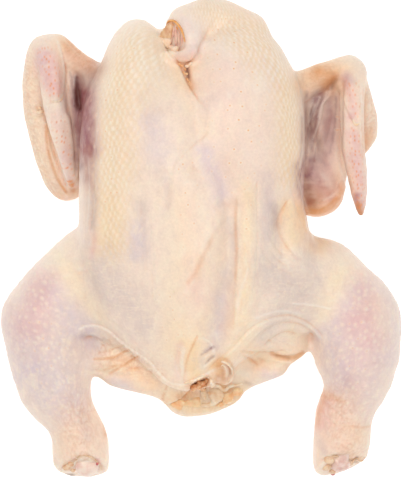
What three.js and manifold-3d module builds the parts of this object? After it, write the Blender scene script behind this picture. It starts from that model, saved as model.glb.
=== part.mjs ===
// A whole raw chicken, plucked and drawn, lying on its back with its legs spread and its wings folded.
//
// The bird is one solid. It is described as a field, negative inside the meat, that smoothly blends
// anatomical pieces: lofts for the breast and the back, tapered limbs for legs and wings, spanned sheets
// for the loose skin between breast and thigh, and ridges and grooves for the folds of the skin. Marching
// cubes turn the field into a surface, which is thinned to few triangles and cut flat where it rests.
// The two knuckles of the leg bones show at the cut hocks, and each is a solid of its own.
//
// Millimetres. +Z is up, through the breast. +Y runs from the tail to the neck. +X is to the right as one
// looks down on the breast with the neck away. The origin is on the resting plane, under the middle.

import * as THREE from "three";
import { triTable } from "three/addons/objects/MarchingCubes.js";
import { mergeVertices } from "three/addons/utils/BufferGeometryUtils.js";
import Module from "manifold-3d";

// ---- driving dimensions ----

const birdLength = 300; // neck skin to hocks
const birdWidth = 250; // over the two knees
const breastHeight = 105; // table to the top of the breast
const backSink = 3; // how much of the back the table flattens
const gridStep = 3; // spacing of the samples of the field
const skinTriangles = 11400; // triangles left after thinning
const seatGap = 0.35; // clearance between a knuckle and the meat round it
const webThickness = 6; // loose skin from breast to thigh
const wingSkinThickness = 7; // skin stretched between the bones of a wing

// ---- fields: distance in millimetres, negative inside ----

const clamp = (value, low, high) => Math.min(high, Math.max(low, value));
const mix = (a, b, t) => a + (b - a) * t;
const vector = (point) => new THREE.Vector3(...point);

// Joins two distances with a fillet about k wide.
function blend(a, b, k) {
  const h = Math.max(k - Math.abs(a - b), 0) / k;
  return Math.min(a, b) - h * h * k * 0.25;
}

// Cuts b out of a with an edge about k wide.
const carve = (a, b, k) => -blend(-a, b, k);

// Further from a piece than this, the distance to its box stands in for the distance to the piece.
const farOff = 30;

function nearby(points, reach, measure) {
  const box = new THREE.Box3().setFromPoints(points).expandByScalar(reach);
  return (x, y, z) => {
    const gap = Math.hypot(
      Math.max(box.min.x - x, x - box.max.x, 0),
      Math.max(box.min.y - y, y - box.max.y, 0),
      Math.max(box.min.z - z, z - box.max.z, 0),
    );
    return gap > farOff ? gap : measure(x, y, z);
  };
}

function ellipsoid({ at, radii }) {
  const [cx, cy, cz] = at;
  const [rx, ry, rz] = radii;
  return (x, y, z) => {
    const ux = (x - cx) / rx;
    const uy = (y - cy) / ry;
    const uz = (z - cz) / rz;
    const near = Math.hypot(ux, uy, uz);
    const slope = Math.hypot(ux / rx, uy / ry, uz / rz);
    return slope === 0 ? -Math.min(rx, ry, rz) : (near * (near - 1)) / slope;
  };
}

// A chain of tapered round stretches through points [x, y, z, radius].
function limb(points) {
  const stretches = points.slice(1).map((end, i) => {
    const start = points[i];
    const d = [end[0] - start[0], end[1] - start[1], end[2] - start[2]];
    return { start, end, d, square: d[0] ** 2 + d[1] ** 2 + d[2] ** 2 };
  });
  const corners = points.map((p) => vector(p.slice(0, 3)));
  const widest = Math.max(...points.map((p) => p[3]));
  return nearby(corners, widest, (x, y, z) => {
    let nearest = Infinity;
    for (const { start, end, d, square } of stretches) {
      const px = x - start[0];
      const py = y - start[1];
      const pz = z - start[2];
      const t = clamp((px * d[0] + py * d[1] + pz * d[2]) / square, 0, 1);
      const away = Math.hypot(px - t * d[0], py - t * d[1], pz - t * d[2]);
      nearest = Math.min(nearest, away - mix(start[3], end[3], t));
    }
    return nearest;
  });
}

// A skin of even thickness over triangles of three points each.
function sheet(triangles, thickness) {
  const faces = triangles.map(([a, b, c]) => new THREE.Triangle(a, b, c));
  const point = new THREE.Vector3();
  const closest = new THREE.Vector3();
  return nearby(triangles.flat(), thickness / 2, (x, y, z) => {
    point.set(x, y, z);
    let nearest = Infinity;
    for (const face of faces) {
      face.closestPointToPoint(point, closest);
      nearest = Math.min(nearest, closest.distanceToSquared(point));
    }
    return Math.sqrt(nearest) - thickness / 2;
  });
}

// The height at which a field is met from above.
function topOf(field, [x, y]) {
  const fineStep = 0.25;
  let z = 2 * breastHeight;
  while (z > 0 && field(x, y, z) > 0) z -= fineStep;
  return z;
}

// Triangles of a smooth skin spanned inside four edges: root and leg run side by side, and start and
// rim join their first and their last points.
function spanned({ root, leg, start, rim }, rows, columns) {
  const curve = (points) => new THREE.CatmullRomCurve3(points);
  const [rootCurve, legCurve, startCurve, rimCurve] = [root, leg, start, rim].map(curve);
  const corner = (side, u) => (side ? legCurve : rootCurve).getPoint(u);
  const at = (u, v) => {
    const across = rootCurve.getPoint(u).lerp(legCurve.getPoint(u), v);
    const along = startCurve.getPoint(v).lerp(rimCurve.getPoint(v), u);
    const flat = corner(0, 0).lerp(corner(0, 1), u).lerp(corner(1, 0).lerp(corner(1, 1), u), v);
    return across.add(along).sub(flat);
  };
  const triangles = [];
  for (let i = 0; i < rows; i++)
    for (let j = 0; j < columns; j++) {
      const [a, b] = [at(i / rows, j / columns), at((i + 1) / rows, j / columns)];
      const [c, d] = [at(i / rows, (j + 1) / columns), at((i + 1) / rows, (j + 1) / columns)];
      triangles.push([a, b, c], [b, d, c]);
    }
  return triangles;
}

// A body lofted along Y through stations {y, left, right, top, bottom}, with squarish sections.
function loft(stations, squareness, endRadius) {
  const first = stations[0].y;
  const last = stations.at(-1).y;
  const curves = ["left", "right", "top", "bottom"].map(
    (side) =>
      new THREE.CatmullRomCurve3(
        stations.map((s) => new THREE.Vector3(s.y, s[side], 0)),
        false,
        "centripetal",
      ),
  );
  // The curves are read at even steps of Y, once.
  const steps = 200;
  const table = curves.map((curve) => {
    const dense = curve.getPoints(steps * 4);
    return Array.from({ length: steps + 1 }, (_, i) => {
      const y = mix(first, last, i / steps);
      const after = dense.findIndex((p) => (last - first) * (p.x - y) >= 0);
      return dense[Math.max(after, 0)].y;
    });
  });
  return (x, y, z) => {
    const along = clamp((y - first) / (last - first), 0, 1) * steps;
    const i = Math.min(Math.floor(along), steps - 1);
    const [left, right, top, bottom] = table.map((t) => mix(t[i], t[i + 1], along - i));
    const halfWidth = (right - left) / 2;
    const halfHeight = (top - bottom) / 2;
    const u = Math.abs(x - (left + right) / 2) / halfWidth;
    const w = Math.abs(z - (top + bottom) / 2) / halfHeight;
    const out = (u ** squareness + w ** squareness) ** (1 / squareness);
    const section = (out - 1) * Math.min(halfWidth, halfHeight);
    const past = Math.max(Math.min(first, last) - y, y - Math.max(first, last), 0);
    return past ? Math.hypot(Math.max(section + endRadius, 0), past) - endRadius : section;
  };
}

// How strongly a point feels a fold drawn from above through points [x, y], between two heights.
function foldReach({ path, width, low, high }) {
  const line = limb(path.map((p) => [...p, 0, 0]));
  const softEdge = 8;
  return (x, y, z) => {
    const level = clamp((z - low) / softEdge, 0, 1) * clamp((high - z) / softEdge, 0, 1);
    return level && level * Math.exp(-((line(x, y, 0) / width) ** 2));
  };
}

// ---- the trunk ----

const breast = loft(
  [
    { y: 114, left: -45, right: 45, top: breastHeight - 26, bottom: 30 },
    { y: 96, left: -66, right: 57, top: breastHeight - 12, bottom: 20 },
    { y: 75, left: -73, right: 61, top: breastHeight - 4, bottom: 14 },
    { y: 45, left: -75, right: 64, top: breastHeight, bottom: 12 },
    { y: 15, left: -75, right: 63, top: breastHeight - 1, bottom: 12 },
    { y: -10, left: -71, right: 62, top: breastHeight - 4, bottom: 14 },
    { y: -35, left: -58, right: 54, top: breastHeight - 10, bottom: 20 },
    { y: -55, left: -46, right: 41, top: breastHeight - 17, bottom: 30 },
    { y: -72, left: -32, right: 25, top: breastHeight - 25, bottom: 44 },
    { y: -82, left: -21, right: 9, top: breastHeight - 33, bottom: 52 },
  ],
  2.15,
  7,
);

const back = loft(
  [
    { y: 104, left: -36, right: 28, top: 48, bottom: 10 },
    { y: 80, left: -50, right: 42, top: 58, bottom: -backSink },
    { y: 40, left: -57, right: 50, top: 60, bottom: -backSink },
    { y: 4, left: -60, right: 66, top: 58, bottom: -backSink },
    { y: -40, left: -62, right: 62, top: 50, bottom: -backSink },
    { y: -62, left: -62, right: 60, top: 44, bottom: -backSink },
    { y: -74, left: -56, right: 52, top: 38, bottom: 2 },
    { y: -84, left: -40, right: 34, top: 32, bottom: 8 },
  ],
  2,
  8,
);

const breastLobes = [
  ellipsoid({ at: [-39, 76, 60], radii: [26.5, 61, 40] }),
  ellipsoid({ at: [24, 74, 62], radii: [37.5, 60, 40] }),
];

// The free edge of the skin over the end of the keel.
const keelTip = limb([
  [-12, -84, 64, 6],
  [-4, -86, 64, 6],
]);

// The soft belly behind the keel, which closes the trunk above the tail.
const abdomen = ellipsoid({ at: [-3, -64, 42], radii: [38, 25, 20] });

// Skin of the neck, curled over the front of the right breast.
const neckSkin = limb([
  [-11, 113, 82, 5.5],
  [-8, 124, 78, 9],
  [-8.5, 132.5, 70, 12.4],
  [4, 138, 64, 11.7],
  [13, 136.5, 60, 12.5],
  [27.5, 126.5, 59, 15.5],
]);

// The lip of that skin, rolled across the fold between the breasts.
const neckLip = limb([
  [-19, 114, 83, 3.4],
  [-12, 111, 85, 3.8],
  [-5, 114, 87, 4.2],
]);

const neckStump = limb([
  [-14, 96, 60, 13],
  [-18, 121, 63, 11],
]);

const neckHollow = limb([
  [-20, 131, 83, 9],
  [-16, 120, 83, 7.5],
]);

// The deep fold that parts the two breasts at the neck.
const neckFold = limb([
  [-26, 138, 91, 11],
  [-14, 112, 100, 7],
  [-5, 93, 107, 3],
]);

const tail = limb([
  [-10, -97, 19, 13],
  [2, -97, 20, 12.5],
  [14, -93, 22, 11],
]);

// Skin of the flanks, slack below the thighs.
const flanks = [
  limb([
    [-63, -71, 34, 12],
    [-50, -78, 36, 14.5],
    [-32, -84, 33, 13],
    [-18, -92, 26, 10],
  ]),
  limb([
    [56, -69, 36, 10],
    [45, -76, 36, 10.5],
    [31, -82.5, 32, 9],
    [18, -91, 25, 8],
  ]),
];

const ventHollow = limb([
  [-4, -93, 46, 8],
  [8, -93, 45, 8],
]);

const ventKnob = ellipsoid({ at: [15, -84, 55], radii: [5.5, 6.5, 8] });

// What is joined to the trunk or cut from it, in this order, each with a fillet of its own.
const trunkSteps = [
  ...breastLobes.map((add) => ({ add, fillet: 9 })),
  { add: keelTip, fillet: 6 },
  { add: abdomen, fillet: 8 },
  ...flanks.map((add) => ({ add, fillet: 8 })),
  { cut: neckFold, fillet: 8 },
  { add: neckSkin, fillet: 4 },
  { cut: neckHollow, fillet: 4 },
  { add: neckStump, fillet: 2 },
  { add: neckLip, fillet: 3 },
  { add: tail, fillet: 6 },
  { cut: ventHollow, fillet: 4 },
  { add: ventKnob, fillet: 3 },
];

// ---- the legs, each from hip to hock ----

const legs = [
  {
    side: "left",
    thigh: [
      [-42, -34, 34, 34],
      [-70, -15, 32, 23],
      [-89, -32, 29, 22.2],
      [-96, -50, 28, 24],
    ],
    drumstick: [
      [-97, -51, 28, 27.6],
      [-94.3, -72, 27.5, 26],
      [-91.7, -90, 26, 23.2],
      [-88.2, -99, 24, 20],
      [-81.2, -111, 21, 16.4],
      [-76.7, -120, 18.5, 16.8],
      [-75.1, -128, 17, 18],
      [-74.9, -142, 16.5, 17.6],
    ],
    hockCut: { at: [-75, -144.6, 14], normal: [-0.05, -0.91, 0.41] },
    knuckle: { at: [-71.5, -142, 24.5], radius: 5.9, turn: 0.12, dip: 0.2 },
    web: {
      root: [[-66, 8], [-60, -14], [-48, -40], [-36, -62], [-25, -77], [-14, -87]],
      leg: [[-74, 2], [-84, -14], [-90, -34], [-79, -53]],
      start: [[-69, 6]],
      rim: [[-27, -84], [-34, -76], [-43, -66], [-56, -58]],
    },
  },
  {
    side: "right",
    thigh: [
      [42, -34, 34, 34],
      [77, -23, 31, 23.5],
      [94, -40, 29, 23],
      [97, -52, 28, 25],
    ],
    drumstick: [
      [96.8, -51, 28, 28],
      [97.6, -70, 27.5, 27],
      [98.5, -82, 26, 22.8],
      [97.8, -91, 24.5, 19.4],
      [93.5, -99, 22.5, 18],
      [89.6, -110, 20, 17.8],
      [88.7, -122, 18, 18.1],
      [88.2, -138, 17, 18.1],
    ],
    hockCut: { at: [86, -142, 15], normal: [0.33, -0.85, 0.41] },
    knuckle: { at: [86.5, -140.5, 24], radius: 5.3, turn: -0.15, dip: 0.2 },
    web: {
      root: [[60, 4], [52, -16], [42, -38], [31, -56], [19, -72], [5, -86]],
      leg: [[72, -4], [84, -18], [91, -36], [78, -55]],
      start: [[66, 0]],
      rim: [[14, -78], [26, -67], [37, -58], [49, -52], [62, -51]],
    },
  },
];

const kneeFillet = 8;
const hipFillet = 9;
const webFillet = 8;
const webRows = 10;
const webColumns = 5;
const seatRadii = [10, 8.5, 8]; // the dimple round a knuckle
const seatEdge = 2;

// A web is drawn from above. Its root lies on the breast and its other side on the leg, and the two edges
// between them rise evenly from the one to the other.
function webSheet({ root, leg, start, rim }, trunk, legField) {
  const laid = (points, field) =>
    points.map(([x, y]) => new THREE.Vector3(x, y, topOf(field, [x, y]) - webThickness / 2));
  const rootPoints = laid(root, trunk);
  const legPoints = laid(leg, legField);
  const bridge = (from, between, to) => [
    from,
    ...between.map(([x, y], i) => {
      const z = mix(from.z, to.z, (i + 1) / (between.length + 1));
      return new THREE.Vector3(x, y, z);
    }),
    to,
  ];
  const edges = {
    root: rootPoints,
    leg: legPoints,
    start: bridge(rootPoints[0], start, legPoints[0]),
    rim: bridge(rootPoints.at(-1), rim, legPoints.at(-1)),
  };
  return sheet(spanned(edges, webRows, webColumns), webThickness);
}

function plane({ at, normal }) {
  const n = vector(normal).normalize();
  const offset = n.dot(vector(at));
  return (x, y, z) => n.x * x + n.y * y + n.z * z - offset;
}

// ---- the wings: bones from shoulder to tip, then the skin between them ----

const wings = [
  {
    bones: [
      { name: "upper arm", fillet: 8, line: [[-60, 88, 42, 13], [-76, 44, 18, 11], [-82, 35, 14, 10]] },
      {
        name: "forearm",
        fillet: 5,
        line: [
          [-86, 35, 13, 9.5],
          [-89.5, 39, 14, 9.5],
          [-94.5, 52, 16, 9.6],
          [-98.5, 67, 18.5, 9.6],
          [-101.5, 82, 22, 9.8],
          [-102, 98, 26, 9.8],
          [-100, 112, 30, 9.6],
          [-97, 117, 32, 10],
        ],
      },
      { name: "wrist", fillet: 5, line: [[-97, 117, 32, 9.8], [-92, 118, 38, 9]] },
      {
        name: "hand",
        fillet: 3,
        line: [
          [-92, 118, 40, 8],
          [-92.5, 103, 42, 8],
          [-91, 86, 42, 7.6],
          [-88.5, 70, 40, 6.6],
          [-84.6, 55, 37, 5.2],
          [-82, 41, 34, 3.8],
          [-80, 32.5, 31, 2.4],
        ],
      },
      { name: "thumb", fillet: 2, line: [[-93, 113, 48, 5.5], [-90.5, 91, 49, 4.4]] },
      { name: "front skin", fillet: 8, line: [[-62, 101, 46, 6.5], [-76, 112, 40, 5.5], [-88, 121, 34, 6]] },
    ],
    skin: [
      [[-62, 100, 44], [-92, 118, 32], [-78, 78, 15]],
      [[-92, 118, 32], [-98, 80, 21], [-78, 78, 15]],
      [[-98, 80, 21], [-85, 38, 14], [-78, 78, 15]],
      [[-62, 100, 44], [-78, 78, 15], [-60, 74, 30]],
    ],
  },
  {
    bones: [
      { name: "upper arm", fillet: 8, line: [[50, 76, 42, 14], [70, 40, 21, 13], [73, 28.5, 17, 14.5]] },
      { name: "forearm", fillet: 5, line: [[78, 30, 17, 12], [86, 66, 22, 10.5], [92.5, 99, 30, 9.8]] },
      {
        name: "trailing skin",
        fillet: 6,
        line: [[95.5, 93, 27, 10.2], [101, 77, 24, 9.8], [102, 67, 22, 9.2], [98, 58.5, 20, 7.5]],
      },
      { name: "wrist", fillet: 5, line: [[93, 103, 35, 9.5], [94, 103, 40, 9]] },
      {
        name: "hand",
        fillet: 3,
        line: [
          [95, 103, 42, 8],
          [93.8, 82, 46, 7.8],
          [94.4, 58, 46, 7.6],
          [97.2, 42, 43, 6.7],
          [98.5, 30, 40, 5.6],
          [99.4, 22.5, 38, 4.2],
          [99.9, 16.5, 36, 2.8],
        ],
      },
      { name: "thumb", fillet: 2, line: [[94, 98, 50, 5], [97.5, 75, 52, 3.6]] },
      { name: "front skin", fillet: 8, line: [[58, 96, 48, 7.5], [76, 104, 43, 6.8], [92, 107.5, 38, 7]] },
    ],
    skin: [
      [[58, 93, 46], [92, 105, 35], [81, 68, 17]],
      [[58, 93, 46], [81, 68, 17], [62, 64, 28]],
      [[62, 64, 28], [81, 68, 17], [74, 32, 16]],
    ],
  },
];

const shoulderFillet = 5;

// ---- folds of the skin, drawn from above: a positive height is a ridge, a negative one a groove ----

const belly = { low: 58, high: 200 };
const side = { low: 30, high: 200 };
const flank = { low: 14, high: 66 };
const folds = [
  { ...belly, height: -3, width: 6, path: [[-5, 96], [-2, 70], [-4, 44]] }, // from the neck, over the keel
  { ...belly, height: 2.4, width: 9, path: [[-6, 34], [-9, -20], [-8, -60], [-6, -84]] }, // keel
  { ...belly, height: 3, width: 5.5, path: [[29, 26], [30, -10], [27, -44], [17, -70]] },
  { ...belly, height: -3, width: 6.5, path: [[16, 20], [17, -20], [13, -52]] },
  { ...belly, height: -1.8, width: 8, path: [[-35, 22], [-35, -12], [-31, -40]] },
  { ...belly, height: 1.8, width: 5, path: [[13, 16], [0, -12], [-10, -36]] },
  { ...side, height: -2.4, width: 6, path: [[50, 24], [45, 0], [53, -22]] },
  { ...side, height: 1.8, width: 7, path: [[60, 12], [58, -6], [64, -20]] },
  { ...flank, height: -3, width: 5, path: [[-66, -70], [-46, -73], [-28, -84]] },
  { ...flank, height: -2.2, width: 4.5, path: [[-60, -80], [-44, -84], [-28, -92]] },
  { ...flank, height: 3, width: 6, path: [[34, -68], [46, -66], [58, -66]] }, // fat pad
  { ...flank, height: -3.5, width: 5, path: [[36, -76], [50, -75], [62, -76]] },
];

// ---- the whole bird ----

function birdField() {
  const foldsFelt = folds.map((fold) => ({ height: fold.height, reach: foldReach(fold) }));
  const keel = (x, y, z) => Math.min(breast(x, y, z), keelTip(x, y, z));
  const legFields = legs.map((leg) => {
    const [thigh, drumstick] = [limb(leg.thigh), limb(leg.drumstick)];
    const bare = (x, y, z) => blend(thigh(x, y, z), drumstick(x, y, z), kneeFillet);
    return {
      bare,
      cut: plane(leg.hockCut),
      seat: ellipsoid({ at: leg.knuckle.at, radii: seatRadii }),
      web: webSheet(leg.web, keel, bare),
    };
  });
  const wingFields = wings.map((wing) => ({
    bones: wing.bones.map(({ fillet, line }) => ({ fillet, field: limb(line) })),
    skin: sheet(
      wing.skin.map((triangle) => triangle.map(vector)),
      wingSkinThickness,
    ),
  }));
  const foldsWithin = 8; // a fold only moves the surface, so it is left out far from it

  return (x, y, z) => {
    // The keel stands clear of the back towards the tail, and runs into it towards the neck.
    const join = mix(3, 14, clamp((y + 70) / 60, 0, 1));
    let d = blend(breast(x, y, z), back(x, y, z), join);
    for (const { add, cut, fillet } of trunkSteps)
      d = add ? blend(d, add(x, y, z), fillet) : carve(d, cut(x, y, z), fillet);
    for (const leg of legFields) {
      let legField = Math.max(leg.bare(x, y, z), leg.cut(x, y, z));
      legField = carve(legField, leg.seat(x, y, z), seatEdge);
      d = blend(d, legField, hipFillet);
      d = blend(d, leg.web(x, y, z), webFillet);
    }
    for (const wing of wingFields) {
      let wingField = wing.skin(x, y, z);
      for (const bone of wing.bones) wingField = blend(wingField, bone.field(x, y, z), bone.fillet);
      d = blend(d, wingField, shoulderFillet);
    }
    if (Math.abs(d) < foldsWithin)
      for (const fold of foldsFelt) d -= fold.height * fold.reach(x, y, z);
    return d;
  };
}

// ---- from a field to a closed surface ----

const cubeCorners = [
  [0, 0, 0],
  [1, 0, 0],
  [1, 1, 0],
  [0, 1, 0],
  [0, 0, 1],
  [1, 0, 1],
  [1, 1, 1],
  [0, 1, 1],
];
const cubeEdges = [
  [0, 1],
  [1, 2],
  [2, 3],
  [3, 0],
  [4, 5],
  [5, 6],
  [6, 7],
  [7, 4],
  [0, 4],
  [1, 5],
  [2, 6],
  [3, 7],
];

// Marching cubes over a box, with the vertices shared along the edges of the grid.
function surfaceOf(field, low, high, step) {
  const count = low.map((v, i) => Math.ceil((high[i] - v) / step) + 1);
  const at = (i, j, k) => i + count[0] * (j + count[1] * k);
  const samples = new Float32Array(count[0] * count[1] * count[2]);
  for (let k = 0; k < count[2]; k++)
    for (let j = 0; j < count[1]; j++)
      for (let i = 0; i < count[0]; i++)
        samples[at(i, j, k)] = field(low[0] + i * step, low[1] + j * step, low[2] + k * step);

  const vertices = [];
  const faces = [];
  const made = new Map();
  const nearCorner = 0.02; // no vertex sits closer to a corner of its cube than this share of an edge
  const vertexOn = (cell, edge) => {
    const ends = cubeEdges[edge].map((c) => cell.map((v, axis) => v + cubeCorners[c][axis]));
    const ids = ends.map((e) => at(...e));
    const key = Math.min(...ids) * samples.length + Math.max(...ids);
    if (!made.has(key)) {
      const [a, b] = ids.map((id) => samples[id]);
      const t = clamp(a / (a - b), nearCorner, 1 - nearCorner);
      made.set(key, vertices.length);
      vertices.push(low.map((v, axis) => v + step * mix(ends[0][axis], ends[1][axis], t)));
    }
    return made.get(key);
  };
  for (let k = 0; k < count[2] - 1; k++)
    for (let j = 0; j < count[1] - 1; j++)
      for (let i = 0; i < count[0] - 1; i++) {
        let code = 0;
        cubeCorners.forEach(([u, v, w], bit) => {
          if (samples[at(i + u, j + v, k + w)] < 0) code |= 1 << bit;
        });
        if (code === 0 || code === 255) continue;
        for (let n = code * 16; triTable[n] !== -1; n += 3)
          faces.push([0, 2, 1].map((m) => vertexOn([i, j, k], triTable[n + m])));
      }
  return { vertices, faces };
}

// ---- thinning: edges are collapsed in order of how little they change the surface ----

// The sum of squared distances to a set of planes, as the ten numbers of a symmetric matrix.
class Quadric {
  constructor() {
    this.q = new Float64Array(10);
  }
  addPlane(n, d, weight) {
    const p = [n.x, n.y, n.z, d];
    let slot = 0;
    for (let r = 0; r < 4; r++)
      for (let c = r; c < 4; c++) this.q[slot++] += weight * p[r] * p[c];
  }
  addOther(other) {
    for (let i = 0; i < this.q.length; i++) this.q[i] += other.q[i];
  }
  costAt({ x, y, z }) {
    const [xx, xy, xz, xd, yy, yz, yd, zz, zd, dd] = this.q;
    const squares = xx * x * x + yy * y * y + zz * z * z;
    const products = xy * x * y + xz * x * z + yz * y * z;
    return squares + 2 * (products + xd * x + yd * y + zd * z) + dd;
  }
}

// A heap that gives back its cheapest item first.
class CheapestFirst {
  items = [];
  push(item) {
    const { items } = this;
    items.push(item);
    let i = items.length - 1;
    while (i > 0) {
      const up = (i - 1) >> 1;
      if (items[up].cost <= items[i].cost) break;
      [items[up], items[i]] = [items[i], items[up]];
      i = up;
    }
  }
  pop() {
    const { items } = this;
    const top = items[0];
    const last = items.pop();
    if (!items.length) return top;
    items[0] = last;
    let i = 0;
    for (;;) {
      let small = i;
      for (const child of [2 * i + 1, 2 * i + 2])
        if (child < items.length && items[child].cost < items[small].cost) small = child;
      if (small === i) return top;
      [items[small], items[i]] = [items[i], items[small]];
      i = small;
    }
  }
}

const shapePenalty = 2e-4; // keeps triangles even where the surface is flat
const turnLimit = 0.25; // least cosine between a triangle before and after a collapse
const smallestTriangle = 0.05; // in square millimetres, twice over

function thin({ vertices, faces }, wanted) {
  const points = vertices.map(vector);
  const tris = faces.map((f) => [...f]);
  const alive = tris.map(() => true);
  const facesAt = points.map(() => new Set());
  const quadrics = points.map(() => new Quadric());
  const version = new Uint32Array(points.length);
  const normalOf = (t, moved, to) => {
    const [a, b, c] = t.map((i) => (i === moved ? to : points[i]));
    return b.clone().sub(a).cross(c.clone().sub(a));
  };
  tris.forEach((t, index) => {
    const normal = normalOf(t);
    const area = normal.length() / 2;
    normal.normalize();
    const d = -normal.dot(points[t[0]]);
    for (const i of t) {
      facesAt[i].add(index);
      quadrics[i].addPlane(normal, d, area);
    }
  });
  const neighbours = (i) => {
    const found = new Set();
    for (const f of facesAt[i]) for (const j of tris[f]) if (j !== i) found.add(j);
    return found;
  };

  const heap = new CheapestFirst();
  const offer = (a, b) => {
    const joined = new Quadric();
    joined.addOther(quadrics[a]);
    joined.addOther(quadrics[b]);
    const spots = [points[a], points[b], points[a].clone().lerp(points[b], 0.5)];
    const costs = spots.map((spot) => joined.costAt(spot));
    const best = costs.indexOf(Math.min(...costs));
    heap.push({
      a,
      b,
      spot: spots[best].clone(),
      cost: costs[best] + shapePenalty * points[a].distanceTo(points[b]) ** 4,
      stamp: version[a] + version[b],
    });
  };
  const turnsOver = (end, a, b, spot) =>
    [...facesAt[end]].some((f) => {
      if (tris[f].includes(a) && tris[f].includes(b)) return false;
      const before = normalOf(tris[f]);
      const after = normalOf(tris[f], end, spot);
      const turned = before.dot(after) < turnLimit * before.length() * after.length();
      return turned || after.length() < smallestTriangle;
    });
  for (const [a, b, c] of tris)
    for (const [i, j] of [[a, b], [b, c], [c, a]]) if (i < j) offer(i, j);

  let left = tris.length;
  while (left > wanted && heap.items.length) {
    const { a, b, spot, stamp } = heap.pop();
    if (version[a] + version[b] !== stamp || !facesAt[a].size || !facesAt[b].size) continue;
    const beside = neighbours(b);
    const shared = [...neighbours(a)].filter((i) => beside.has(i));
    if (shared.length !== 2) continue; // a collapse here would pinch the surface
    if (turnsOver(a, a, b, spot) || turnsOver(b, a, b, spot)) continue;
    points[a].copy(spot);
    quadrics[a].addOther(quadrics[b]);
    for (const f of [...facesAt[b]]) {
      if (tris[f].includes(a)) {
        for (const i of tris[f]) facesAt[i].delete(f);
        alive[f] = false;
        left--;
      } else {
        tris[f] = tris[f].map((i) => (i === b ? a : i));
        facesAt[a].add(f);
      }
    }
    facesAt[b].clear();
    version[a]++;
    version[b]++;
    for (const i of neighbours(a)) offer(Math.min(a, i), Math.max(a, i));
  }
  return { vertices: points.map((p) => p.toArray()), faces: tris.filter((_, i) => alive[i]) };
}

// ---- solids ----

const wasm = await Module();
wasm.setup();

function geometryOf({ vertices, faces }) {
  const geometry = new THREE.BufferGeometry();
  geometry.setAttribute("position", new THREE.Float32BufferAttribute(vertices.flat(), 3));
  geometry.setIndex(faces.flat());
  return geometry;
}

function solidOf(geometry) {
  const bare = geometry.clone();
  for (const name of Object.keys(bare.attributes))
    if (name !== "position") bare.deleteAttribute(name);
  const merged = mergeVertices(bare, 1e-4);
  return new wasm.Manifold(
    new wasm.Mesh({
      numProp: 3,
      vertProperties: merged.attributes.position.array,
      triVerts: new Uint32Array(merged.index.array),
    }),
  );
}

function geometryFrom(solid) {
  const mesh = solid.getMesh();
  const geometry = new THREE.BufferGeometry();
  geometry.setAttribute("position", new THREE.BufferAttribute(mesh.vertProperties, 3));
  geometry.setIndex(new THREE.BufferAttribute(mesh.triVerts, 1));
  return geometry;
}

// The end of a leg bone: a large and a small rounded head side by side, on a shaft that dips into the meat.
// Its proportions are in radii of the large head.
const heads = [
  { size: 1, side: -0.35 },
  { size: 0.82, side: 0.75 },
];
const shaftProportions = { near: 0.62, far: 0.55, length: 3.2 };

function knuckleSolid({ at, radius, turn, dip }, extra) {
  const place = new THREE.Matrix4()
    .makeTranslation(...at)
    .multiply(new THREE.Matrix4().makeRotationZ(turn))
    .multiply(new THREE.Matrix4().makeRotationX(-dip));
  const rounded = heads.map(({ size, side }) =>
    new THREE.SphereGeometry(size * radius + extra, 14, 9).translate(side * radius, 0, 0),
  );
  const { near, far, length } = shaftProportions;
  const shaft = new THREE.CylinderGeometry(far * radius + extra, near * radius + extra, length * radius, 10);
  shaft.translate(0, (length * radius) / 2, 0);
  return [...rounded, shaft]
    .map((geometry) => solidOf(geometry.applyMatrix4(place)))
    .reduce((joined, next) => joined.add(next));
}

function birdSolid() {
  const margin = 2 * gridStep;
  const low = [-birdWidth / 2 - margin, -birdLength / 2 - margin, -backSink - margin];
  const high = [birdWidth / 2 + margin, birdLength / 2 + margin, breastHeight + 3 * margin];
  const coarse = thin(surfaceOf(birdField(), low, high, gridStep), skinTriangles);
  const tableDepth = 40;
  const table = new THREE.BoxGeometry(2 * birdWidth, 2 * birdLength, tableDepth);
  table.translate(0, 0, -tableDepth / 2);
  let solid = solidOf(geometryOf(coarse)).subtract(solidOf(table));
  for (const leg of legs) solid = solid.subtract(knuckleSolid(leg.knuckle, seatGap));
  return solid;
}

// ---- materials and scene graph ----

const skinMaterial = new THREE.MeshStandardMaterial({
  color: 0xeccfae,
  roughness: 0.45,
  metalness: 0,
});
const cartilageMaterial = new THREE.MeshStandardMaterial({
  color: 0xf0ddd2,
  roughness: 0.3,
  metalness: 0,
});

const chicken = new THREE.Group();

function addPiece(name, solid, material) {
  const mesh = new THREE.Mesh(geometryFrom(solid), material);
  mesh.name = name;
  chicken.add(mesh);
}

addPiece("bird", birdSolid(), skinMaterial);
for (const leg of legs)
  addPiece(`${leg.side}_knuckle`, knuckleSolid(leg.knuckle, 0), cartilageMaterial);

export default chicken;
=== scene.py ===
import math

import bmesh
import bpy
import numpy as np
from mathutils import Matrix, Vector, noise
from mathutils.bvhtree import BVHTree


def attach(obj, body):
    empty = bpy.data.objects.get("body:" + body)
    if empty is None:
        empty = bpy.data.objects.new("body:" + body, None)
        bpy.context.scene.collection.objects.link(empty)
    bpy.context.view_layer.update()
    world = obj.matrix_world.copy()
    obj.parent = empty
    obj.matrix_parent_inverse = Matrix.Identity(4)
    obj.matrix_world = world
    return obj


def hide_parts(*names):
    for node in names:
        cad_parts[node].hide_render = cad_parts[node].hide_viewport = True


# A whole raw chicken on its back: skin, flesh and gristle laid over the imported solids.

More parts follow.
